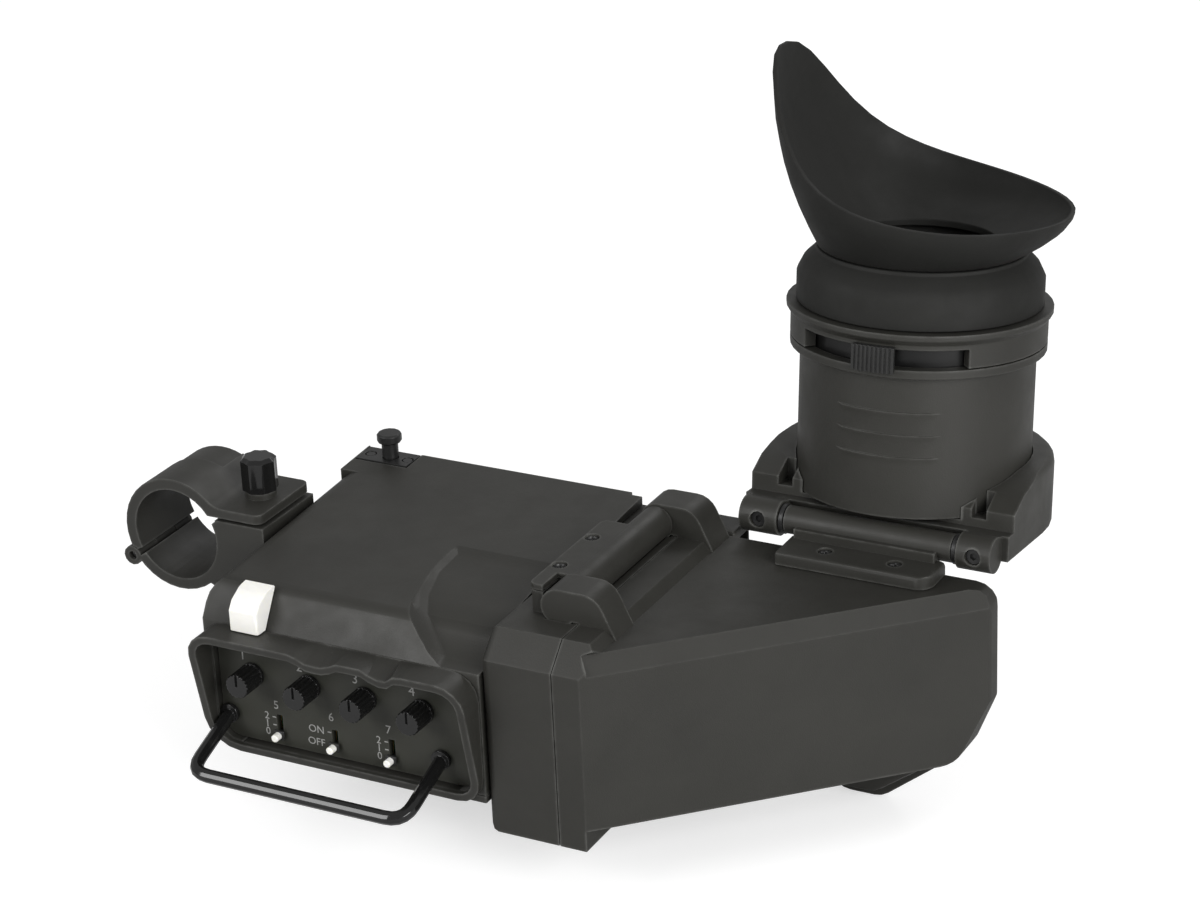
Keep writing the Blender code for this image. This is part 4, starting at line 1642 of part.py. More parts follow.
def switch_levers():
    for number, x in enumerate(SWITCH_PLACES):
        back = PANEL_FACE - GAP
        front = back - SWITCH_TAB_THICK
        tab = box((x - SWITCH_TAB_WIDTH / 2, front, SWITCH_Z - SWITCH_TAB_TALL / 2),
                  (x + SWITCH_TAB_WIDTH / 2, back, SWITCH_Z + SWITCH_TAB_TALL / 2))
        lever = add("switch_lever_%d" % (number + 1), soften(tab, GAP, 1), WHITE_PLASTIC, ROOT)
        half = SWITCH_STEM / 2
        tip = rod((x, front + GAP, SWITCH_Z), (x, back - SWITCH_TIP_REACH, SWITCH_Z), SWITCH_TIP_RADIUS,
                  SMALL_SIDES)
        stem = box((x - half, back - GAP, SWITCH_Z - half),
                   (x + half, back + SWITCH_STEM_REACH, SWITCH_Z + half))
        join(lever, ROOT, soften(tip, GAP, 1, lambda a, b: max(a.y, b.y) < front - GAP), stem)


def control_board():
    """Board with the dials' and switches' bodies soldered on it."""
    start = PANEL_FACE + PANEL_THICK + GAP
    face = start + DIAL_DEPTH
    low = BOX_FLOOR + COVER_THICK + BOARD_EDGE / 2
    left = BOX_LEFT + BOX_WALL + BOARD_EDGE
    right = BOX_RIGHT - BOX_WALL - BOARD_EDGE
    high = OPENING_TOP - BOARD_EDGE
    corner = BOX_BOTTOM_ROUND - BOX_WALL - BOARD_EDGE
    outline = filleted([(left, low, corner), (right, low, 0), (right, high, 0), (left, high, 0)])
    board = add("control_board", slab_of(outline, "XZ", face, face + BOARD_THICK), BOARD, ROOT)
    half = DIAL_SIZE / 2
    for x in KNOB_PLACES:
        join(board, ROOT, box((x - half, start, KNOB_Z - half), (x + half, face + GAP, KNOB_Z + half)))
        cut(board, ROOT, rod((x, start - OVERRUN, KNOB_Z), (x, PANEL_FACE + KNOB_SHAFT_REACH, KNOB_Z),
                             KNOB_SHAFT_RADIUS + GAP, SMALL_SIDES))
    for x, travel in zip(SWITCH_PLACES, SWITCH_TRAVELS):
        half = SWITCH_BODY_WIDTH / 2
        top = SWITCH_Z + travel + SWITCH_BODY_RISE
        join(board, ROOT, box((x - half, start, low + GAP), (x + half, face + GAP, top)))
        half = SWITCH_STEM / 2 + GAP
        cut(board, ROOT, box((x - half, start - OVERRUN, SWITCH_Z - half),
                             (x + half, PANEL_FACE + SWITCH_STEM_REACH + GAP, SWITCH_Z + travel + half)))


def bar_path():
    """Centre line of the guard bar, with its two corners rounded."""
    root = PANEL_FACE - GAP
    ends = [
        Vector((BAR_LEFT, root, BAR_ROOT_Z)), Vector((BAR_LEFT, -BAR_REACH, BAR_RAIL_Z)),
        Vector((BAR_RIGHT, -BAR_REACH, BAR_RAIL_Z)), Vector((BAR_RIGHT, root, BAR_ROOT_Z)),
    ]
    points = [ends[0]]
    for number in (1, 2):
        corner = ends[number]
        before = (ends[number - 1] - corner).normalized()
        after = (ends[number + 1] - corner).normalized()
        for step in range(BAR_CORNER_STEPS + 1):
            share = step / BAR_CORNER_STEPS
            start = corner + before * BAR_CORNER
            end = corner + after * BAR_CORNER
            points.append(start * (1 - share) ** 2 + corner * 2 * share * (1 - share) + end * share ** 2)
    points.append(ends[3])
    return points


def guard_bar():
    curve = bpy.data.curves.new("guard_bar", "CURVE")
    curve.dimensions = "3D"
    curve.bevel_depth = BAR_RADIUS
    curve.bevel_resolution = 3
    curve.use_fill_caps = True
    spline = curve.splines.new("POLY")
    path = bar_path()
    spline.points.add(len(path) - 1)
    for point, place in zip(spline.points, path):
        point.co = (*place, 1.0)
    wire = bpy.data.objects.new("wire", curve)
    bpy.context.scene.collection.objects.link(wire)
    mesh = bpy.data.meshes.new_from_object(wire.evaluated_get(bpy.context.evaluated_depsgraph_get()))
    bpy.data.objects.remove(wire)
    bm = bmesh.new()
    bm.from_mesh(mesh)
    bmesh.ops.remove_doubles(bm, verts=bm.verts, dist=MERGE)
    bar = add("guard_bar", bm, GLOSS_BLACK, ROOT)
    face = PANEL_FACE - GAP
    for x in (BAR_LEFT, BAR_RIGHT):
        join(bar, ROOT,
             rod((x, face, BAR_ROOT_Z), (x, face - BAR_BOSS_THICK, BAR_ROOT_Z), BAR_BOSS_RADIUS, ROUND_SIDES))
    cut(bar, ROOT, box((BAR_LEFT - OVERRUN * 3, face, BAR_ROOT_Z - OVERRUN * 3),
                       (BAR_RIGHT + OVERRUN * 3, face + OVERRUN, BAR_ROOT_Z + OVERRUN * 3)))


def tally_lamp():
    slope = Vector((BOX_CREST_Y, BOX_CREST_Z - BOX_FRONT_TOP)).normalized()
    off = Vector((-slope.y, slope.x)) * GAP
    foot = Vector((0.0, BOX_FRONT_TOP)) + off + slope * GAP
    back = Vector((BOX_CREST_Y, BOX_CREST_Z)) + off
    bottom = BOX_FRONT_TOP + GAP
    profile = [
        (-TALLY_REACH, bottom), (foot.x, bottom), (foot.x, foot.y), (back.x, back.y),
        (back.x - GAP, back.y + GAP * 2), (TALLY_CROWN[0], BOX_FRONT_TOP + TALLY_CROWN[1]),
        (TALLY_BROW[0], BOX_FRONT_TOP + TALLY_BROW[1]), (-TALLY_REACH, BOX_FRONT_TOP + TALLY_FACE_RISE),
    ]
    lamp = slab_of(profile, "YZ", TALLY_LEFT, TALLY_RIGHT)
    soften(lamp, TALLY_EDGE, 2, lambda a, b: abs(a.x - b.x) < GAP and max(a.y, b.y) < BOX_CREST_Y - GAP * 4
           and max(a.z, b.z) > bottom + GAP
           and min(a.y, b.y) > -TALLY_REACH - GAP and a.z + b.z > 2 * (BOX_FRONT_TOP + OVERRUN))
    add("tally_lamp", lamp, WHITE_PLASTIC, ROOT)


def ring_part(start, end, low, high, inner=MIC_INNER, outer=MIC_OUTER):
    points = arc((MIC_X, MIC_Z), outer, start, end, MIC_RING_STEPS)
    points += reversed(arc((MIC_X, MIC_Z), inner, start, end, MIC_RING_STEPS))
    return slab_of(points, "XZ", low, high)


def along_y(x, z, start, end, radius, sides=SMALL_SIDES):
    """Rod that runs along Y."""
    return rod((x, start, z), (x, end, z), radius, sides)


def mic_bracket():
    """Lower half of the ring with its arm to the box and the two outer knuckles."""
    clear = 3 * math.degrees(GAP / MIC_INNER)
    split = math.degrees(math.asin((MIC_SLIT_LOW - MIC_Z) / MIC_OUTER))
    bracket = add("mic_bracket", ring_part(MIC_PIVOT_ANGLE + clear, 360 + split, MIC_FRONT, MIC_BACK), PAINT,
                  ROOT)
    wall = BOX_LEFT - GAP
    middle = (MIC_INNER + MIC_OUTER) / 2
    rise = MIC_SLIT_LOW - MIC_Z
    foot = math.radians(MIC_BRACKET_ANGLE)
    arm = [
        (MIC_X + middle * math.cos(foot), MIC_Z + middle * math.sin(foot)), (wall, MIC_Z - MIC_BRACKET_DROP),
        (wall, MIC_SLIT_LOW), (MIC_X + math.sqrt(middle ** 2 - rise ** 2), MIC_SLIT_LOW),
        (MIC_X + middle * math.cos(foot / 3), MIC_Z + middle * math.sin(foot / 3)),
    ]
    join(bracket, ROOT, slab_of(arm, "XZ", MIC_FRONT, MIC_BACK),
         along_y(MIC_PIVOT_X, MIC_PIVOT_Z, MIC_FRONT, MIC_BACK, MIC_PIVOT_RADIUS))
    side = MIC_PIVOT_RADIUS + GAP
    cut(
        bracket, ROOT,
        along_y(MIC_PIVOT_X, MIC_PIVOT_Z, MIC_FRONT - OVERRUN, MIC_BACK + OVERRUN, MIC_PIVOT_BORE),
        along_y(MIC_X, MIC_Z, MIC_FRONT - OVERRUN, MIC_BACK + OVERRUN, MIC_INNER, BIG_SIDES),
        box((MIC_PIVOT_X - side, MIC_FRONT + MIC_KNUCKLE - GAP, MIC_PIVOT_Z - side),
            (MIC_PIVOT_X + side, MIC_BACK - MIC_KNUCKLE + GAP, MIC_PIVOT_Z + side + OVERRUN)),
        box((CLAMP_X - CLAMP_SCREW_BORE - CLAMP_SLOT_RUN, CLAMP_Y - CLAMP_SCREW_BORE,
             MIC_SLIT_LOW - CLAMP_SLOT_DEPTH),
            (CLAMP_X + CLAMP_SCREW_BORE, CLAMP_Y + CLAMP_SCREW_BORE, MIC_SLIT_LOW + OVERRUN)),
    )
    pin = along_y(MIC_PIVOT_X, MIC_PIVOT_Z, MIC_FRONT + MIC_PIN_SUNK, MIC_BACK - MIC_PIN_SUNK, MIC_PIN_RADIUS)
    add("mic_pivot_pin", pin, STEEL, ROOT)


def jaw_outline():
    """Upper half of the ring and its tongue as one outline, joined by a hollow fillet."""
    pivot = MIC_PIVOT_ANGLE - 3 * math.degrees(GAP / MIC_INNER)
    rise = MIC_TONGUE_TOP + MIC_TONGUE_FILLET - MIC_Z
    across = math.sqrt((MIC_OUTER + MIC_TONGUE_FILLET) ** 2 - rise ** 2)
    meet = math.degrees(math.atan2(rise, across))
    low = math.degrees(math.asin((MIC_SLIT_HIGH - MIC_Z) / MIC_INNER))
    points = arc((MIC_X, MIC_Z), MIC_OUTER, pivot, meet, MIC_RING_STEPS)
    points += arc((MIC_X + across, MIC_TONGUE_TOP + MIC_TONGUE_FILLET), MIC_TONGUE_FILLET, 180 + meet, 270,
                  CORNER_STEPS)
    points += [(MIC_TONGUE_RIGHT, MIC_TONGUE_TOP), (MIC_TONGUE_RIGHT, MIC_SLIT_HIGH)]
    return points + arc((MIC_X, MIC_Z), MIC_INNER, low, pivot, MIC_RING_STEPS)


def mic_jaw():
    """Hinged half of the ring with its tongue, middle knuckle and the clamp screw's boss."""
    body = slab_of(jaw_outline(), "XZ", MIC_FRONT, MIC_BACK)
    soften(body, MIC_TONGUE_ROUND, 3,
           lambda a, b: min(a.x, b.x) > MIC_TONGUE_RIGHT - GAP and abs(a.z - b.z) > GAP)
    jaw = add("mic_jaw", body, PAINT, JAW)
    boss_top = MIC_TONGUE_TOP + CLAMP_BOSS_TALL
    join(
        jaw, JAW,
        along_y(MIC_PIVOT_X, MIC_PIVOT_Z, MIC_FRONT + MIC_KNUCKLE, MIC_BACK - MIC_KNUCKLE, MIC_PIVOT_RADIUS),
        rod((CLAMP_X, CLAMP_Y, MIC_TONGUE_TOP - GAP), (CLAMP_X, CLAMP_Y, boss_top), CLAMP_BOSS_RADIUS,
            ROUND_SIDES),
    )
    side = MIC_PIVOT_RADIUS + GAP
    cut(
        jaw, JAW,
        along_y(MIC_PIVOT_X, MIC_PIVOT_Z, MIC_FRONT - OVERRUN, MIC_BACK + OVERRUN, MIC_PIVOT_BORE),
        along_y(MIC_PIVOT_X, MIC_PIVOT_Z, MIC_FRONT - OVERRUN, MIC_FRONT + MIC_KNUCKLE - GAP / 2, side),
        along_y(MIC_PIVOT_X, MIC_PIVOT_Z, MIC_BACK - MIC_KNUCKLE + GAP / 2, MIC_BACK + OVERRUN, side),
        rod((CLAMP_X, CLAMP_Y, MIC_SLIT_HIGH - OVERRUN), (CLAMP_X, CLAMP_Y, boss_top + OVERRUN),
            CLAMP_SCREW_BORE, SMALL_SIDES),
        ring_part(MIC_STEP_START, MIC_PIVOT_ANGLE - MIC_STEP_CLEAR, MIC_STEP_Y, MIC_BACK + OVERRUN,
                  MIC_OUTER - MIC_STEP, MIC_OUTER + OVERRUN),
    )
    clamp_knob(boss_top + GAP)


def clamp_knob(low):
    """Fluted knob on the screw that closes the jaw."""
    count = CLAMP_FLUTES * CLAMP_FLUTE_POINTS
    points = []
    for number in range(count):
        angle = 2 * math.pi * number / count
        radius = CLAMP_RADIUS - CLAMP_FLUTE_DEPTH * (1 - math.cos(CLAMP_FLUTES * angle)) / 2
        points.append((CLAMP_X + radius * math.cos(angle), CLAMP_Y + radius * math.sin(angle)))
    top = low + CLAMP_TALL
    body = slab_of(points, "XY", low, top)
    soften(body, CLAMP_CHAMFER, 1, lambda a, b: min(a.z, b.z) > top - GAP)
    knob = add("clamp_knob", body, GLOSS_BLACK, CLAMP)
    join(knob, CLAMP,
         rod((CLAMP_X, CLAMP_Y, MIC_SLIT_HIGH - CLAMP_SCREW_REACH), (CLAMP_X, CLAMP_Y, low + OVERRUN),
                          CLAMP_SCREW_RADIUS, SMALL_SIDES))


def pins():
    hinge_pin("mirror_hinge_pin", (FLIP_X, FLIP_FRONT_EAR + FLIP_PIN_COVER, FLIP_Z),
              (FLIP_X, FLIP_BACK_EAR_END - GAP, FLIP_Z), FLIP_PIN_RADIUS, ROOT)
    hinge_pin("eyepiece_hinge_pin", (KNUCKLE_LEFT + GAP * 2, TURN_Y, TURN_Z),
              (KNUCKLE_RIGHT - TURN_PIN_COVER, TURN_Y, TURN_Z), TURN_PIN_RADIUS, FLIP)


clear_scene()
PARTS = make_collection("electronic_viewfinder")
CUTTERS = make_collection("cutters")

PAINT = make_material("body_paint", (0.045, 0.045, 0.042), 0.55)
PANEL_PAINT = make_material("panel_paint", (0.035, 0.035, 0.033), 0.5)
BLACK_PLASTIC = make_material("black_plastic", (0.02, 0.02, 0.02), 0.5)
GLOSS_BLACK = make_material("gloss_black", (0.01, 0.01, 0.01), 0.2)
WHITE_PLASTIC = make_material("white_plastic", (0.85, 0.85, 0.82), 0.3)
RUBBER = make_material("rubber", (0.017, 0.017, 0.016), 0.75)
GLASS = make_material("glass", (0.6, 0.65, 0.7), 0.05, 0.0, 0.8)
MIRROR = make_material("mirror", (0.9, 0.9, 0.9), 0.03, 1.0)
STEEL = make_material("steel", (0.5, 0.5, 0.5), 0.3, 1.0)
BLACK_METAL = make_material("black_metal", (0.02, 0.02, 0.02), 0.35, 0.6)
DARK_METAL = make_material("dark_metal", (0.08, 0.08, 0.08), 0.4, 0.8)
BOARD = make_material("circuit_board", (0.02, 0.12, 0.05), 0.4)

ROOT = Frame("datum", None, -DATUM)
FLIP = Frame("mirror_axis", ROOT, (FLIP_X, 0.0, FLIP_Z), drawn_at=(FLIP_X, 0.0, FLIP_Z))
TURN = Frame("eyepiece_axis", FLIP, (-FLIP_X, TURN_Y, TURN_Z - FLIP_Z), -TURN_TILT)
OPTIC = Frame("optical_axis", TURN, (AXIS_X, AXIS_V, 0.0))
FOCUS = Frame("focus_axis", OPTIC, (0.0, 0.0, 0.0))
LENS = Frame("lens_axis", OPTIC, (0.0, 0.0, 0.0))
CUP = Frame("eyecup_axis", OPTIC, (0.0, 0.0, 0.0))
STOP = Frame("stop_axis", ROOT, (STOP_X, STOP_Y, 0.0))
JAW = Frame("jaw_axis", ROOT, (MIC_PIVOT_X, 0.0, MIC_PIVOT_Z), drawn_at=(MIC_PIVOT_X, 0.0, MIC_PIVOT_Z))
CLAMP = Frame("clamp_axis", JAW, (CLAMP_X - MIC_PIVOT_X, CLAMP_Y, -MIC_PIVOT_Z),
              drawn_at=(CLAMP_X, CLAMP_Y, 0.0))

screen_housing()
screen_stack()
hinge_leaf()
mirror_housing()
mirror_parts()
latch_block()
rear_frame()
eyepiece_hinge_plate()
eyepiece_base()
washers()
eyepiece_tube()
collar()
focus_ring()
lenses()
rubber_neck()
eyecup()
control_box()
base_cover()
slide_channel()
stop_pin()
panel_hood()
control_panel()
knobs()
switch_levers()
control_board()
guard_bar()
tally_lamp()
mic_bracket()
mic_jaw()
pins()
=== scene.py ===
import json
import math

import bpy
from mathutils import Matrix, Vector


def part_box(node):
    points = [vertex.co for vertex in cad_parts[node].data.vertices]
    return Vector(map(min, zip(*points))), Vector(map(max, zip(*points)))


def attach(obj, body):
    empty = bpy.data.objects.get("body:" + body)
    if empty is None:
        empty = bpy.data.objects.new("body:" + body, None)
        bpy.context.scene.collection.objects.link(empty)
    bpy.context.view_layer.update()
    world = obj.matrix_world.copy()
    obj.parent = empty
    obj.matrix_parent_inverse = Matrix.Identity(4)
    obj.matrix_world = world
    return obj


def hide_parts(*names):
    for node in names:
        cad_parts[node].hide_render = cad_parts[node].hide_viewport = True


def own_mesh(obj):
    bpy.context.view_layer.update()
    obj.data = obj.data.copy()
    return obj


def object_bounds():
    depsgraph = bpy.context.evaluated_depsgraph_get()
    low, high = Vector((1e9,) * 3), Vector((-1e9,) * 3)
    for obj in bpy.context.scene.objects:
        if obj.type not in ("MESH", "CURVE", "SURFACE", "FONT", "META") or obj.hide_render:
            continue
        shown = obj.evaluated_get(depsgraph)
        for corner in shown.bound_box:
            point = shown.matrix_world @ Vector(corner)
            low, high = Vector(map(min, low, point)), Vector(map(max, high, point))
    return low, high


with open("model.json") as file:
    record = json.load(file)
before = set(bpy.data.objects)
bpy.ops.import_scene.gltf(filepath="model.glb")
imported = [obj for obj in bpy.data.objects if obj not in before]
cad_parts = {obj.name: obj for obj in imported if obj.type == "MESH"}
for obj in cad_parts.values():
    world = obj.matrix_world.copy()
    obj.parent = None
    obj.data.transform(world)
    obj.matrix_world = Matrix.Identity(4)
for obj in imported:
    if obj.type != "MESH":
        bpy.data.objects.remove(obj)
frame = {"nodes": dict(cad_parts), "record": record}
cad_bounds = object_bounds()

MM = 0.001
DEG = math.pi / 180

# Merging, rounding and shading of the finished copies
TINY = 0.005 * MM
FLAT_ANGLE = 1.0 * DEG
EDGE_ANGLE = 32.0 * DEG
BOX_EDGE_ANGLE = 44.0 * DEG
SMOOTH_ANGLE = 38.0 * DEG

# Where the measuring frame of the drawing lies in the row frame
DRAWING = Vector((48.0 * MM, -84.0 * MM, -43.0 * MM))

# Camera, from the perspective fit to the photograph
CAMERA_PLACE = Vector((408.8 * MM, -678.6 * MM, 460.8 * MM))
CAMERA_RIGHT = Vector((0.88515, 0.46339, -0.04231))
CAMERA_DOWN = Vector((0.15231, -0.37445, -0.91465))
CAMERA_FORWARD = Vector((-0.43968, 0.80315, -0.40202))
CAMERA_LENS = 99.16
CAMERA_SENSOR = 36.0

# Hinge and axis of the eyepiece
HINGE_Y = 91.0 * MM
HINGE_Z = 64.2 * MM
EYE_TILT = 6.0 * DEG
AXIS_X = 72.0 * MM
AXIS_V = 31.5 * MM

# Cutters
TURN_TO = {"X": (0.0, 90 * DEG, 0.0), "Y": (90 * DEG, 0.0, 0.0), "Z": (0.0, 0.0, 0.0)}
SOCKET_SIDES = 6
FLUTE_SIDES = 12
ROUND_SIDES = 24
CORNER_SIDES = 48

# Hood and hinge plate
HOOD_FOOT_REACH = 1.6 * MM
VISOR_CUT = 30.0 * MM
PLATE_CORNER = 4.6 * MM
PLATE_INSET = 1.5 * MM

# Knobs, switch levers and focus ring
KNOB_RISE = 8.6 * MM
KNOB_SKIRT = 1.1 * MM
KNOB_EDGE = 0.16 * MM
KNOB_FLUTES = 18
FLUTE_RADIUS = 0.6 * MM
FLUTE_OFFSET = 0.24 * MM
FLUTE_OVERRUN = 2.0 * MM
LEVER_EDGE = 0.35 * MM
LEVER_TIP = 2.2 * MM
FOCUS_RING_OUT = 34.5 * MM

# Driver's crosses: reach, width and depth, and the depth of the dish where there is one
COVER_CROSS = (1.1 * MM, 0.5 * MM, 0.9 * MM)
LEAF_CROSS = (1.3 * MM, 0.55 * MM, 0.8 * MM, 0.6 * MM)
PLATE_CROSS = (1.2 * MM, 0.5 * MM, 0.9 * MM)
SLIDE_CROSS = (1.3 * MM, 0.55 * MM, 0.9 * MM)
DISH_SPREAD = 1.25

# Screws
SCREW_EDGE = 0.12 * MM
STOP_SCREWS = ((-89.3 * MM, 87.9 * MM), (-76.5 * MM, 87.9 * MM))
STOP_SCREW_TOP = 62.85 * MM
STOP_SCREW_TALL = 1.2 * MM
STOP_SCREW_RADIUS = 1.42 * MM
SET_SCREWS = (39.8 * MM, 104.9 * MM)
SET_SCREW_RADIUS = 2.15 * MM
SET_SCREW_FACE = 3.9 * MM
SET_SCREW_LONG = 1.7 * MM
SET_SCREW_SOCKET = 1.15 * MM

# Print on the panel
PANEL_FACE = 2.0 * MM
PRINT_RISE = 0.05 * MM
PRINT_DEEP = 0.02 * MM
PRINT_CURVE_STEPS = 3
KNOB_NUMBER_RISE = 5.2 * MM
KNOB_NUMBER_SIDE = 3.2 * MM
KNOB_NUMBER_SIZE = 4.2 * MM
SWITCH_NUMBER_START = 5
SWITCH_NUMBER_RISE = 8.9 * MM
SWITCH_NUMBER_SIDE = 0.8 * MM
SWITCH_NUMBER_SIZE = 3.7 * MM
SWITCH_FIRST = 14.4 * MM
SWITCH_PLACES = (-70.96 * MM, -52.70 * MM, -34.0 * MM)
SWITCH_TRAVELS = (5.0 * MM, 4.0 * MM, 5.0 * MM)
SWITCH_WORDS = (("0", "1", "2"), ("OFF", "ON"), ("0", "1", "2"))
TICK_OFF = 1.75 * MM
TICK_LONG = 1.2 * MM
TICK_THICK = 0.32 * MM
WORD_OFF = 3.4 * MM
WORD_SIZE = 3.3 * MM

# Finishes, as linear colours
BODY_BLACK = (0.0195, 0.0190, 0.0162)
# Edge colour of the body paint: rubbed paint, and a painted highlight along its outer edges
BODY_RUB_AND_HIGHLIGHT = (0.11, 0.11, 0.103)
# Panel paint set lighter than the body paint: painted light that offsets the hood's shade on the panel
PANEL_BLACK_PAINTED_LIGHT = (0.0245, 0.0248, 0.0195)
RUBBER_BLACK = (0.0078, 0.0078, 0.0068)
RUBBER_DUST = (0.02, 0.02, 0.019)
GLOSS_BLACK = (0.006, 0.006, 0.006)
GLOSS_RUBBED = (0.02, 0.02, 0.02)
PLASTIC_BLACK = (0.012, 0.012, 0.0115)
PLASTIC_RUBBED = (0.03, 0.03, 0.03)
METAL_BLACK = (0.012, 0.012, 0.012)
METAL_RUBBED = (0.04, 0.04, 0.04)
# Near-black of the focus ring's inner part: painted shade for the inside of the collar's slot
SLOT_SHADE_BLACK = (0.003, 0.003, 0.003)
SLOT_SHADE_RUBBED = (0.01, 0.01, 0.01)
PRINT_GREY = (0.30, 0.30, 0.29)
LENS_WHITE = (0.84, 0.83, 0.79)
STEEL_GREY = (0.42, 0.42, 0.43)
DARK_METAL = (0.06, 0.06, 0.062)
BOARD_GREEN = (0.012, 0.09, 0.035)
BOARD_PALE = (0.016, 0.11, 0.045)
COPPER = (0.35, 0.22, 0.08)
GLASS_TINT = (0.87, 0.9, 0.9)
COAT_TINT = (0.86, 0.88, 1.0)
SILVER = (0.9, 0.91, 0.92)
SILVER_HAZE = (0.86, 0.87, 0.88)
SCREEN_DARK = (0.008, 0.009, 0.012)
SCREEN_PALE = (0.01, 0.011, 0.015)
SCREEN_LINES = (0.003, 0.003, 0.004)

# Patterns of the finishes, with scales in cells a metre
NOISE_LOW = 0.3
NOISE_HIGH = 0.7
CLOUD_SCALE = 34.0
CLOUD_PALER = 1.22
GLOSS_SCALE = 90.0
EDGE_REACH = 0.8 * MM
EDGE_SAMPLES = 4
EDGE_START = 0.82
EDGE_FULL = 0.55
EDGE_BREAK_SCALE = 260.0
EDGE_BREAK_LEAST_SHARE = 0.35
PIXEL_SCALE = 4000.0
TRACK_SCALE = 260.0
TRACK_LINE = 0.03
TRACK_DEPTH = 0.03 * MM
METAL_LINE_DEPTH = 0.01 * MM

# Floor, backdrop and lamps: each lamp's place and aim, both sides and power in watts
FLOOR_SIZE = 12.0
FLOOR_DROP = 0.4 * MM
FLOOR_GREY = (0.6, 0.6, 0.6)
FLOOR_GLOW = 0.56
SKY_LEVEL = 0.44
WHITE = (1.0, 1.0, 1.0, 1.0)
LAMPS = {
    "key_lamp": ((-0.8, -1.3, 0.8), (0.0, 0.0, 0.0), (0.8, 0.8), 13.8),
    "fill_lamp": ((1.25, -0.7, 0.6), (0.08, 0.0, 0.05), (0.8, 0.8), 19.0),
    "back_lamp": ((0.2, 1.2, 1.2), (0.0, 0.0, 0.0), (1.2, 0.4), 5.0),
}


def deselect():
    bpy.ops.object.select_all(action="DESELECT")


def only(item):
    """Makes one object the selected and active one."""
    deselect()
    item.select_set(True)
    bpy.context.view_layer.objects.active = item


def apply_all(item):
    only(item)
    for modifier in list(item.modifiers):
        bpy.ops.object.modifier_apply(modifier=modifier.name)


def settle(item):
    """Puts the object at the origin, with its place in its mesh."""
    only(item)
    bpy.ops.object.transform_apply(location=True, rotation=True, scale=True)


def extent(piece):
    """Lowest and highest corner of a piece."""
    corners = [Vector(corner) for corner in piece.bound_box]
    return [Vector([pick(corner[i] for corner in corners) for i in range(3)]) for pick in (min, max)]


def hinge_matrix():
    """From the frame of the eyepiece's hinge to the row frame."""
    place = DRAWING + Vector((0.0, HINGE_Y, HINGE_Z))
    return Matrix.Translation(place) @ Matrix.Rotation(-EYE_TILT, 4, "X")


def start_material(name):
    material = bpy.data.materials.new(name)
    material.use_nodes = True
    tree = material.node_tree
    return material, tree, tree.nodes["Principled BSDF"]


def place_input(tree):
    return tree.nodes.new("ShaderNodeTexCoord").outputs["Object"]


def noise(tree, scale, detail=3.0, roughness=0.55):
    node = tree.nodes.new("ShaderNodeTexNoise")
    node.inputs["Scale"].default_value = scale
    node.inputs["Detail"].default_value = detail
    node.inputs["Roughness"].default_value = roughness
    tree.links.new(place_input(tree), node.inputs["Vector"])
    return node.outputs["Fac"]


def bricks(tree, scale, first, second, between):
    """Cells in two colours, with lines in a third between them."""
    node = tree.nodes.new("ShaderNodeTexBrick")
    node.inputs["Scale"].default_value = scale
    for socket, colour in (("Color1", first), ("Color2", second), ("Mortar", between)):
        node.inputs[socket].default_value = (*colour, 1.0)
    tree.links.new(place_input(tree), node.inputs["Vector"])
    return node


def spread(tree, value, low, high, to_low, to_high):
    """Maps a pattern's value from one range to another."""
    node = tree.nodes.new("ShaderNodeMapRange")
    node.inputs["From Min"].default_value = low
    node.inputs["From Max"].default_value = high
    node.inputs["To Min"].default_value = to_low
    node.inputs["To Max"].default_value = to_high
    tree.links.new(value, node.inputs["Value"])
    return node.outputs["Result"]


def multiply(tree, first, second):
    node = tree.nodes.new("ShaderNodeMath")
    node.operation = "MULTIPLY"
    for socket, value in zip(node.inputs, (first, second)):
        if isinstance(value, float):
            socket.default_value = value
        else:
            tree.links.new(value, socket)
    return node.outputs["Value"]


def blend_colours(tree, share, first, second):
    node = tree.nodes.new("ShaderNodeMix")
    node.data_type = "RGBA"
    tree.links.new(share, node.inputs["Factor"])
    for socket, colour in ((node.inputs[6], first), (node.inputs[7], second)):
        if isinstance(colour, tuple):
            socket.default_value = (*colour, 1.0)
        else:
            tree.links.new(colour, socket)
    return node.outputs[2]


def scaled(colour, factor):
    return tuple(min(channel * factor, 1.0) for channel in colour)


def vary_colour(tree, shader, pattern, low, high, first, second):
    """Lets the part of a pattern from low to high carry the base colour from one colour to another."""
    share = spread(tree, pattern, low, high, 0.0, 1.0)
    tree.links.new(blend_colours(tree, share, first, second), shader.inputs["Base Color"])


def vary_roughness(tree, shader, pattern, low, high):
    """Lets a pattern carry the roughness from low to high."""
    tree.links.new(spread(tree, pattern, NOISE_LOW, NOISE_HIGH, low, high), shader.inputs["Roughness"])


def add_bump(tree, shader, height, distance):
    bump = tree.nodes.new("ShaderNodeBump")
    bump.inputs["Distance"].default_value = distance
    bump.inputs["Strength"].default_value = 1.0
    tree.links.new(height, bump.inputs["Height"])
    tree.links.new(bump.outputs["Normal"], shader.inputs["Normal"])


def edge_mask(tree):
    """One along outer edges, where the edge colour shows rub and a painted highlight, and zero on flat
    faces and in corners.
    """
    within = tree.nodes.new("ShaderNodeAmbientOcclusion")
    within.samples = EDGE_SAMPLES
    within.inside = True
    within.only_local = True
    within.inputs["Distance"].default_value = EDGE_REACH
    return spread(tree, within.outputs["AO"], EDGE_START, EDGE_FULL, 0.0, 1.0)


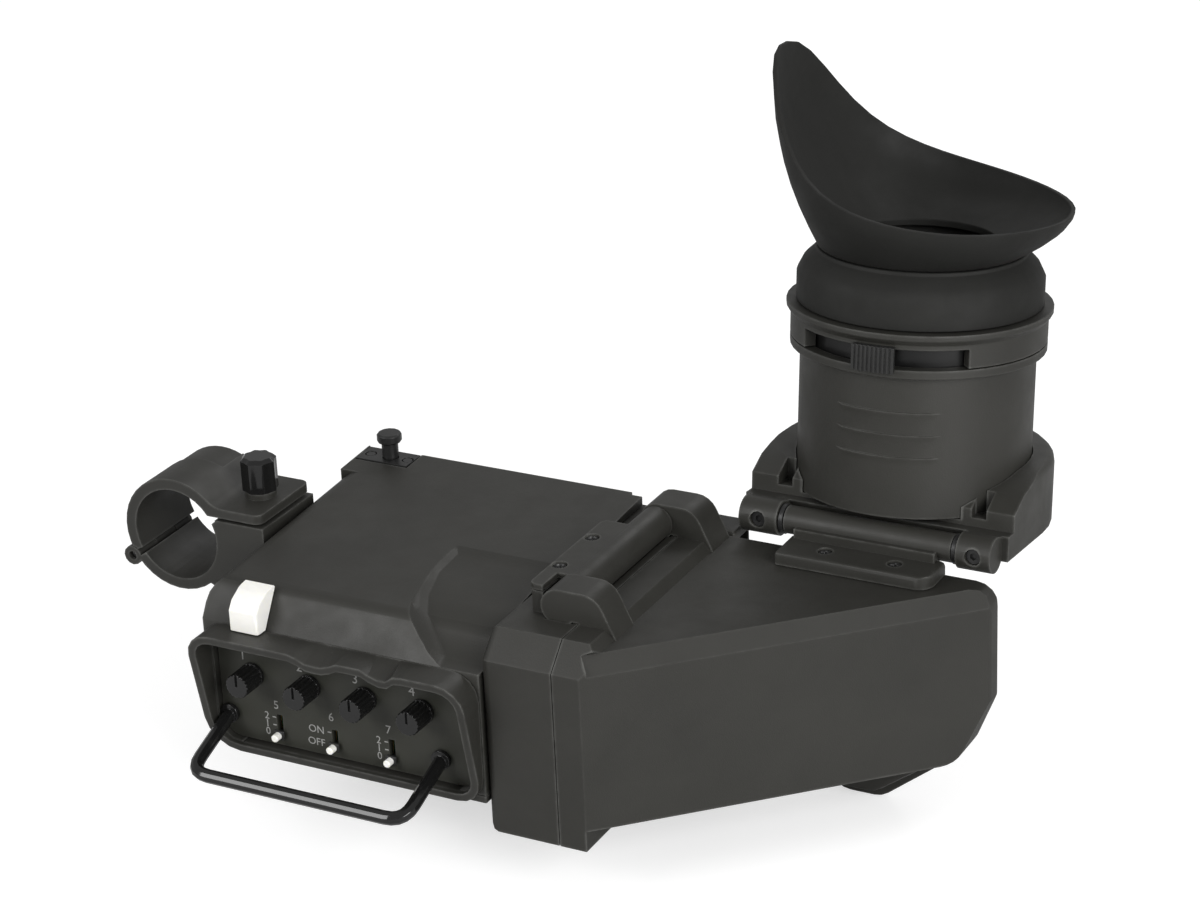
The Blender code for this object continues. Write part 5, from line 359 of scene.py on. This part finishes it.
def coated(name, colour, edge_rub_and_highlight, rough, grain, grain_depth, edge_rub_and_highlight_share, specular=0.4):
    """Sprayed or moulded finish: fine grain, faint clouds in colour and gloss, and outer edges in a lighter
    colour that is partly rub and partly painted highlight.
    """
    material, tree, shader = start_material(name)
    clouds = spread(tree, noise(tree, CLOUD_SCALE, 4.0), 0.35, 0.68, 0.0, 1.0)
    base = blend_colours(tree, clouds, colour, scaled(colour, CLOUD_PALER))
    broken = spread(tree, noise(tree, EDGE_BREAK_SCALE, 5.0), 0.36, 0.62, EDGE_BREAK_LEAST_SHARE * edge_rub_and_highlight_share, edge_rub_and_highlight_share)
    # Outer edges take the edge colour, broken up by noise: rub, and on the body paint also a painted
    # highlight
    base = blend_colours(tree, multiply(tree, edge_mask(tree), broken), base, edge_rub_and_highlight)
    tree.links.new(base, shader.inputs["Base Color"])
    vary_roughness(tree, shader, noise(tree, GLOSS_SCALE, 5.0), *rough)
    shader.inputs["Specular IOR Level"].default_value = specular
    add_bump(tree, shader, noise(tree, grain, 2.0, 0.5), grain_depth)
    return material


def translucent_white(name):
    material, tree, shader = start_material(name)
    vary_colour(tree, shader, noise(tree, 120.0), 0.35, 0.65, LENS_WHITE, scaled(LENS_WHITE, 1.05))
    vary_roughness(tree, shader, noise(tree, 300.0, 4.0), 0.28, 0.42)
    shader.inputs["Subsurface Weight"].default_value = 0.25
    shader.inputs["Subsurface Radius"].default_value = (0.002, 0.002, 0.0015)
    return material


def printed(name, colour):
    """Screen-printed ink that covers a little unevenly."""
    material, tree, shader = start_material(name)
    vary_colour(tree, shader, noise(tree, 900.0, 4.0), 0.4, 0.65, colour, scaled(colour, 0.82))
    vary_roughness(tree, shader, noise(tree, 1500.0), 0.5, 0.65)
    return material


def metal(name, colour, rough, stretch):
    """Turned or ground metal, its fine lines drawn out along one direction."""
    material, tree, shader = start_material(name)
    mapping = tree.nodes.new("ShaderNodeMapping")
    mapping.inputs["Scale"].default_value = stretch
    tree.links.new(place_input(tree), mapping.inputs["Vector"])
    lines = tree.nodes.new("ShaderNodeTexNoise")
    lines.inputs["Scale"].default_value = 1.0
    lines.inputs["Detail"].default_value = 4.0
    tree.links.new(mapping.outputs["Vector"], lines.inputs["Vector"])
    vary_colour(tree, shader, lines.outputs["Fac"], 0.35, 0.65, colour, scaled(colour, 0.8))
    vary_roughness(tree, shader, lines.outputs["Fac"], *rough)
    shader.inputs["Metallic"].default_value = 1.0
    add_bump(tree, shader, lines.outputs["Fac"], METAL_LINE_DEPTH)
    return material


def clear_glass(name):
    """Lens glass with a faint smear and a bluish coating."""
    material, tree, shader = start_material(name)
    vary_colour(tree, shader, noise(tree, 60.0, 4.0), 0.4, 0.7, GLASS_TINT, scaled(GLASS_TINT, 1.1))
    vary_roughness(tree, shader, noise(tree, 80.0, 4.0), 0.01, 0.05)
    shader.inputs["Transmission Weight"].default_value = 1.0
    shader.inputs["IOR"].default_value = 1.52
    shader.inputs["Coat Weight"].default_value = 0.6
    shader.inputs["Coat Tint"].default_value = (*COAT_TINT, 1.0)
    return material


def dark_screen(name):
    """Flat display, off, with its pixel grid showing faintly under the polariser."""
    material, tree, shader = start_material(name)
    grid = bricks(tree, PIXEL_SCALE, SCREEN_DARK, SCREEN_PALE, SCREEN_LINES)
    tree.links.new(grid.outputs["Color"], shader.inputs["Base Color"])
    vary_roughness(tree, shader, noise(tree, 50.0), 0.12, 0.2)
    return material


def silvered(name):
    material, tree, shader = start_material(name)
    vary_colour(tree, shader, noise(tree, 70.0, 5.0), 0.35, 0.7, SILVER, SILVER_HAZE)
    vary_roughness(tree, shader, noise(tree, 40.0, 5.0), 0.01, 0.04)
    shader.inputs["Metallic"].default_value = 1.0
    return material


def circuit(name):
    """Green resist over copper tracks."""
    material, tree, shader = start_material(name)
    tracks = bricks(tree, TRACK_SCALE, BOARD_GREEN, BOARD_PALE, COPPER)
    tracks.inputs["Mortar Size"].default_value = TRACK_LINE
    tree.links.new(tracks.outputs["Color"], shader.inputs["Base Color"])
    vary_roughness(tree, shader, noise(tree, 200.0), 0.3, 0.45)
    add_bump(tree, shader, tracks.outputs["Fac"], TRACK_DEPTH)
    return material


# Coated finishes: colour, edge colour (rub, and on the body paint also a painted highlight), range of
# roughness, grain and its depth, share of edge colour, and specular level
# The body paint's pale edge colour is a painted highlight along outer edges as well as rub
body_paint = coated("body_paint", BODY_BLACK, BODY_RUB_AND_HIGHLIGHT, (0.44, 0.58), 2600.0, 0.03 * MM, 0.8)
# Panel paint, lighter than the body paint as painted light against the hood's shade
panel_paint = coated("panel_paint", PANEL_BLACK_PAINTED_LIGHT, BODY_RUB_AND_HIGHLIGHT, (0.42, 0.54), 3200.0, 0.015 * MM, 0.3)
rubber = coated("eyecup_rubber", RUBBER_BLACK, RUBBER_DUST, (0.62, 0.78), 1800.0, 0.02 * MM, 0.35, 0.3)
gloss_black = coated("gloss_black", GLOSS_BLACK, GLOSS_RUBBED, (0.07, 0.15), 900.0, 0.002 * MM, 0.3, 0.5)
black_plastic = coated("black_plastic", PLASTIC_BLACK, PLASTIC_RUBBED, (0.42, 0.56), 2400.0, 0.01 * MM, 0.3)
black_metal = coated("blackened_steel", METAL_BLACK, METAL_RUBBED, (0.32, 0.45), 1500.0, 0.004 * MM, 0.3)
# Near-black finish of the focus ring's inner part, painted shade inside the collar's slot
slot_shade = coated("focus_ring_painted_shade", SLOT_SHADE_BLACK, SLOT_SHADE_RUBBED, (0.3, 0.4), 1500.0, 0.004 * MM, 0.2)
white_plastic = translucent_white("white_lamp_plastic")
grey_print = printed("grey_print", PRINT_GREY)
steel = metal("ground_steel", STEEL_GREY, (0.22, 0.36), (2500.0, 2500.0, 300.0))
dark_metal = metal("anodised_slide", DARK_METAL, (0.35, 0.5), (300.0, 2600.0, 2600.0))
glass = clear_glass("coated_glass")
screen = dark_screen("display_glass")
mirror_silver = silvered("front_silver")
board_green = circuit("green_board")

NODE_FINISH = {
    "body_paint": body_paint, "panel_paint": panel_paint, "black_plastic": black_plastic,
    "gloss_black": gloss_black, "white_plastic": white_plastic, "rubber": rubber, "glass": glass,
    "mirror": mirror_silver, "steel": steel, "black_metal": black_metal, "dark_metal": dark_metal,
    "circuit_board": board_green,
}
SLOT_OF = {part["node"]: part["material_slot"] for part in frame["record"]["subparts"]}
BODY_OF = {node: body for body, nodes in frame["record"]["behaviour"]["bodies"].items() for node in nodes}


def put_finish(item, material):
    item.data.materials.clear()
    item.data.materials.append(material)


for node_name, node in frame["nodes"].items():
    put_finish(node, NODE_FINISH[SLOT_OF[node_name]])
put_finish(frame["nodes"]["lcd_panel"], screen)
put_finish(frame["nodes"]["eyepiece_hinge_pin"], black_metal)


def add_rod(centre, radius, length, axis, sides):
    deselect()
    bpy.ops.mesh.primitive_cylinder_add(
        vertices=sides, radius=radius, depth=length, location=centre, rotation=TURN_TO[axis])
    return bpy.context.object


def add_box(centre, size, rotation=(0.0, 0.0, 0.0)):
    deselect()
    bpy.ops.mesh.primitive_cube_add(size=1.0, location=centre, rotation=rotation)
    block = bpy.context.object
    block.scale = size
    settle(block)
    return block


def carve(piece, cutters):
    """Cuts shapes that don't touch one another out of a piece."""
    deselect()
    for cutter in cutters:
        cutter.select_set(True)
    bpy.context.view_layer.objects.active = cutters[0]
    if len(cutters) > 1:
        bpy.ops.object.join()
    cut = piece.modifiers.new("cut", "BOOLEAN")
    cut.operation = "DIFFERENCE"
    cut.solver = "EXACT"
    cut.object = cutters[0]
    apply_all(piece)
    bpy.data.objects.remove(cutters[0])


def cross_recess(axis, face, reach, width, depth, dish=0.0):
    """Driver's cross, in a shallow dish if asked, for a screw's head; face is the side it lies on."""
    along = "XYZ".index(axis)

    def work(piece):
        low, high = extent(piece)
        centre = (low + high) / 2
        centre[along] = high[along] if face > 0 else low[along]
        others = [i for i in range(3) if i != along]
        if dish:
            carve(piece, [add_rod(centre, reach * DISH_SPREAD, 2 * dish, axis, ROUND_SIDES)])
        for first, second in (others, reversed(others)):
            size = [0.0, 0.0, 0.0]
            size[along] = 2 * (depth + dish)
            size[first] = 2 * reach
            size[second] = width
            carve(piece, [add_box(centre, size)])

    return work


def fluted(piece):
    """Grooves along a knob's side, short of its foot."""
    low, high = extent(piece)
    radius = (high.x - low.x) / 2
    length = KNOB_RISE - KNOB_SKIRT + FLUTE_OVERRUN
    centre = Vector(((low.x + high.x) / 2, low.y + length / 2 - FLUTE_OVERRUN, (low.z + high.z) / 2))
    grooves = []
    for number in range(KNOB_FLUTES):
        angle = (number + 0.5) * 2 * math.pi / KNOB_FLUTES
        out = Vector((math.cos(angle), 0.0, math.sin(angle))) * (radius + FLUTE_OFFSET)
        grooves.append(add_rod(centre + out, FLUTE_RADIUS, length, "Y", FLUTE_SIDES))
    carve(piece, grooves)


def visor(piece):
    """Trims the hood's front, so that its side walls run out towards the foot."""
    low, high = extent(piece)
    top = Vector(((low.x + high.x) / 2, low.y, high.z))
    foot = Vector((top.x, DRAWING.y - HOOD_FOOT_REACH, low.z))
    along = (foot - top).normalized()
    outward = Vector((0.0, along.z, -along.y))
    middle = (top + foot) / 2 + outward * VISOR_CUT / 2
    size = (2 * (high.x - low.x), VISOR_CUT, 3 * (high.z - low.z))
    carve(piece, [add_box(middle, size, (math.atan2(along.y, -along.z), 0.0, 0.0))])


def round_corner(piece):
    """Rounds the front right corner of the hinge plate, seen from above."""
    low, high = extent(piece)
    height = 2 * (high.z - low.z)
    centre = Vector((high.x - PLATE_INSET - PLATE_CORNER, low.y + PLATE_CORNER, (low.z + high.z) / 2))
    outward = Vector((PLATE_CORNER, -PLATE_CORNER, 0.0))
    block = add_box(centre + outward, (2 * PLATE_CORNER, 2 * PLATE_CORNER, height))
    carve(block, [add_rod(centre, PLATE_CORNER, 2 * height, "Z", CORNER_SIDES)])
    carve(piece, [block])


def softened(node_name, width, segments=3, angle=EDGE_ANGLE, finish=None, work=None):
    """Finished copy of a CAD piece: its faces merged, its edges rounded and its round sides smooth."""
    source = frame["nodes"][node_name]
    piece = bpy.data.objects.new(node_name + "_finished", source.data.copy())
    bpy.context.scene.collection.objects.link(piece)
    only(piece)
    bpy.ops.object.mode_set(mode="EDIT")
    bpy.ops.mesh.select_all(action="SELECT")
    bpy.ops.mesh.remove_doubles(threshold=TINY)
    bpy.ops.mesh.dissolve_limited(angle_limit=FLAT_ANGLE)
    bpy.ops.mesh.select_all(action="SELECT")
    bpy.ops.mesh.normals_make_consistent(inside=False)
    bpy.ops.object.mode_set(mode="OBJECT")
    if work:
        work(piece)
    if width:
        bevel = piece.modifiers.new("edge", "BEVEL")
        bevel.width = width
        bevel.segments = segments
        bevel.limit_method = "ANGLE"
        bevel.angle_limit = angle
        bevel.use_clamp_overlap = True
        bevel.miter_outer = "MITER_ARC"
        apply_all(piece)
    only(piece)
    bpy.ops.object.shade_smooth_by_angle(angle=SMOOTH_ANGLE)
    weighted = piece.modifiers.new("shading", "WEIGHTED_NORMAL")
    weighted.keep_sharp = True
    apply_all(piece)
    put_finish(piece, finish or NODE_FINISH[SLOT_OF[node_name]])
    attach(piece, BODY_OF[node_name])
    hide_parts(node_name)
    return piece


# Width of the rounded edges, in millimetres
EDGES = {
    "screen_housing": 1.0, "hinge_leaf": 0.45, "mirror_housing": 1.1, "latch_block": 0.5, "rear_frame": 0.8,
    "eyepiece_hinge_plate": 0.45, "eyepiece_base": 0.7, "eyepiece_tube": 0.22, "collar_ring": 0.3,
    "collar": 0.35, "rubber_neck": 0.4, "control_box": 1.0, "base_cover": 0.3, "panel_hood": 0.6,
    "control_panel": 0.2, "guard_bar": 0.3, "tally_lamp": 0.5, "focus_ring": 0.2, "lens_cell": 0.2,
    "mic_bracket": 0.5, "mic_jaw": 0.5, "clamp_knob": 0.4, "stop_pin": 0.2, "stop_plate": 0.2,
    "slide_channel": 0.3, "hinge_washer_left": 0.1, "hinge_washer_right": 0.1, "eyecup": 0.3,
}
EDGE_ANGLES = {"control_box": BOX_EDGE_ANGLE}
WORK = {"panel_hood": visor, "eyepiece_hinge_plate": round_corner}
for node_name, width in EDGES.items():
    softened(node_name, width * MM, angle=EDGE_ANGLES.get(node_name, EDGE_ANGLE), work=WORK.get(node_name))
for number in (1, 2, 3, 4):
    softened("knob_%d" % number, KNOB_EDGE, 2, work=fluted)
    softened("cover_screw_%d" % number, SCREW_EDGE, 1, work=cross_recess("Z", -1, *COVER_CROSS))
for number in (1, 2):
    softened("leaf_screw_%d" % number, SCREW_EDGE, 1, work=cross_recess("Z", 1, *LEAF_CROSS))
    softened("hinge_plate_screw_%d" % number, SCREW_EDGE, 1, work=cross_recess("Z", 1, *PLATE_CROSS))
    softened("slide_screw_%d" % number, SCREW_EDGE, 1, work=cross_recess("Y", 1, *SLIDE_CROSS))
spring = softened("stop_spring", 0.0)
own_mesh(spring)

# Two finishes on one piece: the focus ring's inner part, near-black as painted shade inside the collar's
# slot, and the tips of the switch levers
to_eyepiece = (hinge_matrix() @ Matrix.Translation((AXIS_X, AXIS_V, 0.0))).inverted()
focus_grip = bpy.data.objects["focus_ring_finished"]
focus_grip.data.materials.append(slot_shade)
for face in focus_grip.data.polygons:
    place = to_eyepiece @ face.center
    if math.hypot(place.x, place.y) < FOCUS_RING_OUT:
        face.material_index = 1
for number in (1, 2, 3):
    lever = softened("switch_lever_%d" % number, LEVER_EDGE, finish=black_plastic)
    lever.data.materials.append(white_plastic)
    tip_end = extent(lever)[0].y + LEVER_TIP
    for face in lever.data.polygons:
        if face.center.y < tip_end:
            face.material_index = 1


def on_panel(x, z):
    return DRAWING + Vector((x, PANEL_FACE - PRINT_RISE, z))


def printed_word(word, x, z, size, side="CENTER"):
    deselect()
    bpy.ops.object.text_add(location=on_panel(x, z), rotation=(90 * DEG, 0.0, 0.0))
    mark = bpy.context.object
    mark.data.body = word
    mark.data.size = size
    mark.data.align_x = side
    mark.data.align_y = "CENTER"
    mark.data.resolution_u = PRINT_CURVE_STEPS
    mark.data.extrude = PRINT_DEEP
    only(mark)
    bpy.ops.object.convert(target="MESH")
    return bpy.context.object


def printed_tick(x, z):
    return add_box(on_panel(x, z), (TICK_LONG, 2 * PRINT_DEEP, TICK_THICK))


marks = []
for number in (1, 2, 3, 4):
    low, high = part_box("knob_%d" % number)
    middle = (low + high) / 2 - DRAWING
    marks.append(printed_word(
        str(number), middle.x - KNOB_NUMBER_SIDE, middle.z + KNOB_NUMBER_RISE, KNOB_NUMBER_SIZE))
switches = zip(SWITCH_PLACES, SWITCH_TRAVELS, SWITCH_WORDS)
for number, (x, travel, words) in enumerate(switches, SWITCH_NUMBER_START):
    marks.append(printed_word(
        str(number), x - SWITCH_NUMBER_SIDE, SWITCH_FIRST + SWITCH_NUMBER_RISE, SWITCH_NUMBER_SIZE))
    for place, word in enumerate(words):
        z = SWITCH_FIRST + travel * place / (len(words) - 1)
        marks.append(printed_tick(x - TICK_OFF, z))
        marks.append(printed_word(word, x - WORD_OFF, z, WORD_SIZE, "RIGHT"))
deselect()
for mark in marks:
    mark.select_set(True)
bpy.context.view_layer.objects.active = marks[0]
bpy.ops.object.join()
panel_marks = marks[0]
panel_marks.name = "panel_marks"
settle(panel_marks)
put_finish(panel_marks, grey_print)
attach(panel_marks, BODY_OF["control_panel"])


def finish_screw(screw, node_name):
    """Shades an added screw and fixes it to the body that a CAD piece belongs to."""
    settle(screw)
    bpy.ops.object.shade_smooth_by_angle(angle=SMOOTH_ANGLE)
    put_finish(screw, black_metal)
    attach(screw, BODY_OF[node_name])


for x, y in STOP_SCREWS:
    place = DRAWING + Vector((x, y, STOP_SCREW_TOP - STOP_SCREW_TALL / 2))
    head = add_rod(place, STOP_SCREW_RADIUS, STOP_SCREW_TALL, "Z", ROUND_SIDES)
    head.name = "stop_plate_screw"
    finish_screw(head, "stop_plate")
for name, x in zip(("set_screw_left", "set_screw_right"), SET_SCREWS):
    middle = SET_SCREW_LONG / 2 - SET_SCREW_FACE
    set_screw = add_rod((x, middle, 0.0), SET_SCREW_RADIUS, SET_SCREW_LONG, "Y", ROUND_SIDES)
    set_screw.name = name
    settle(set_screw)
    socket = add_rod((x, -SET_SCREW_FACE, 0.0), SET_SCREW_SOCKET, SET_SCREW_LONG, "Y", SOCKET_SIDES)
    carve(set_screw, [socket])
    set_screw.matrix_world = hinge_matrix()
    finish_screw(set_screw, "eyepiece_base")
for node_name in ("hinge_washer_left", "hinge_washer_right"):
    washer = bpy.data.objects[node_name + "_finished"]
    put_finish(washer, black_metal)

# Camera
camera_data = bpy.data.cameras.new("camera")
camera_data.lens = CAMERA_LENS
camera_data.sensor_width = CAMERA_SENSOR
camera = bpy.data.objects.new("camera", camera_data)
bpy.context.scene.collection.objects.link(camera)
turn = Matrix((CAMERA_RIGHT, -CAMERA_DOWN, -CAMERA_FORWARD)).transposed()
camera.matrix_world = Matrix.Translation(CAMERA_PLACE + DRAWING) @ turn.to_4x4()
bpy.context.scene.camera = camera

# Floor, a little paler where the camera sees it
deselect()
bpy.ops.mesh.primitive_plane_add(size=FLOOR_SIZE, location=(0.0, 0.0, cad_bounds[0][2] - FLOOR_DROP))
floor = bpy.context.object
floor.name = "floor"
floor_paint, floor_tree, floor_shader = start_material("floor_white")
floor_shader.inputs["Base Color"].default_value = (*FLOOR_GREY, 1.0)
floor_shader.inputs["Roughness"].default_value = 0.8
floor_shader.inputs["Emission Color"].default_value = WHITE
floor_path = floor_tree.nodes.new("ShaderNodeLightPath")
glow = multiply(floor_tree, floor_path.outputs["Is Camera Ray"], FLOOR_GLOW)
floor_tree.links.new(glow, floor_shader.inputs["Emission Strength"])
floor.data.materials.append(floor_paint)

# Backdrop, white to the camera and through glass, and dimmer as a light
world = bpy.data.worlds.new("studio")
bpy.context.scene.world = world
world.use_nodes = True
sky = world.node_tree
background = sky.nodes["Background"]
background.inputs["Color"].default_value = WHITE
path = sky.nodes.new("ShaderNodeLightPath")
seen = sky.nodes.new("ShaderNodeMath")
seen.operation = "MAXIMUM"
sky.links.new(path.outputs["Is Camera Ray"], seen.inputs[0])
sky.links.new(path.outputs["Is Transmission Ray"], seen.inputs[1])
level = spread(sky, seen.outputs["Value"], 0.0, 1.0, SKY_LEVEL, 1.0)
sky.links.new(level, background.inputs["Strength"])

for name, (place, aim, size, power) in LAMPS.items():
    deselect()
    bpy.ops.object.light_add(type="AREA", location=place)
    lamp = bpy.context.object
    lamp.name = name
    lamp.data.shape = "RECTANGLE"
    lamp.data.size, lamp.data.size_y = size
    lamp.data.energy = power
    lamp.rotation_euler = (Vector(aim) - Vector(place)).to_track_quat("-Z", "Y").to_euler()

bpy.context.scene.view_settings.view_transform = "Standard"
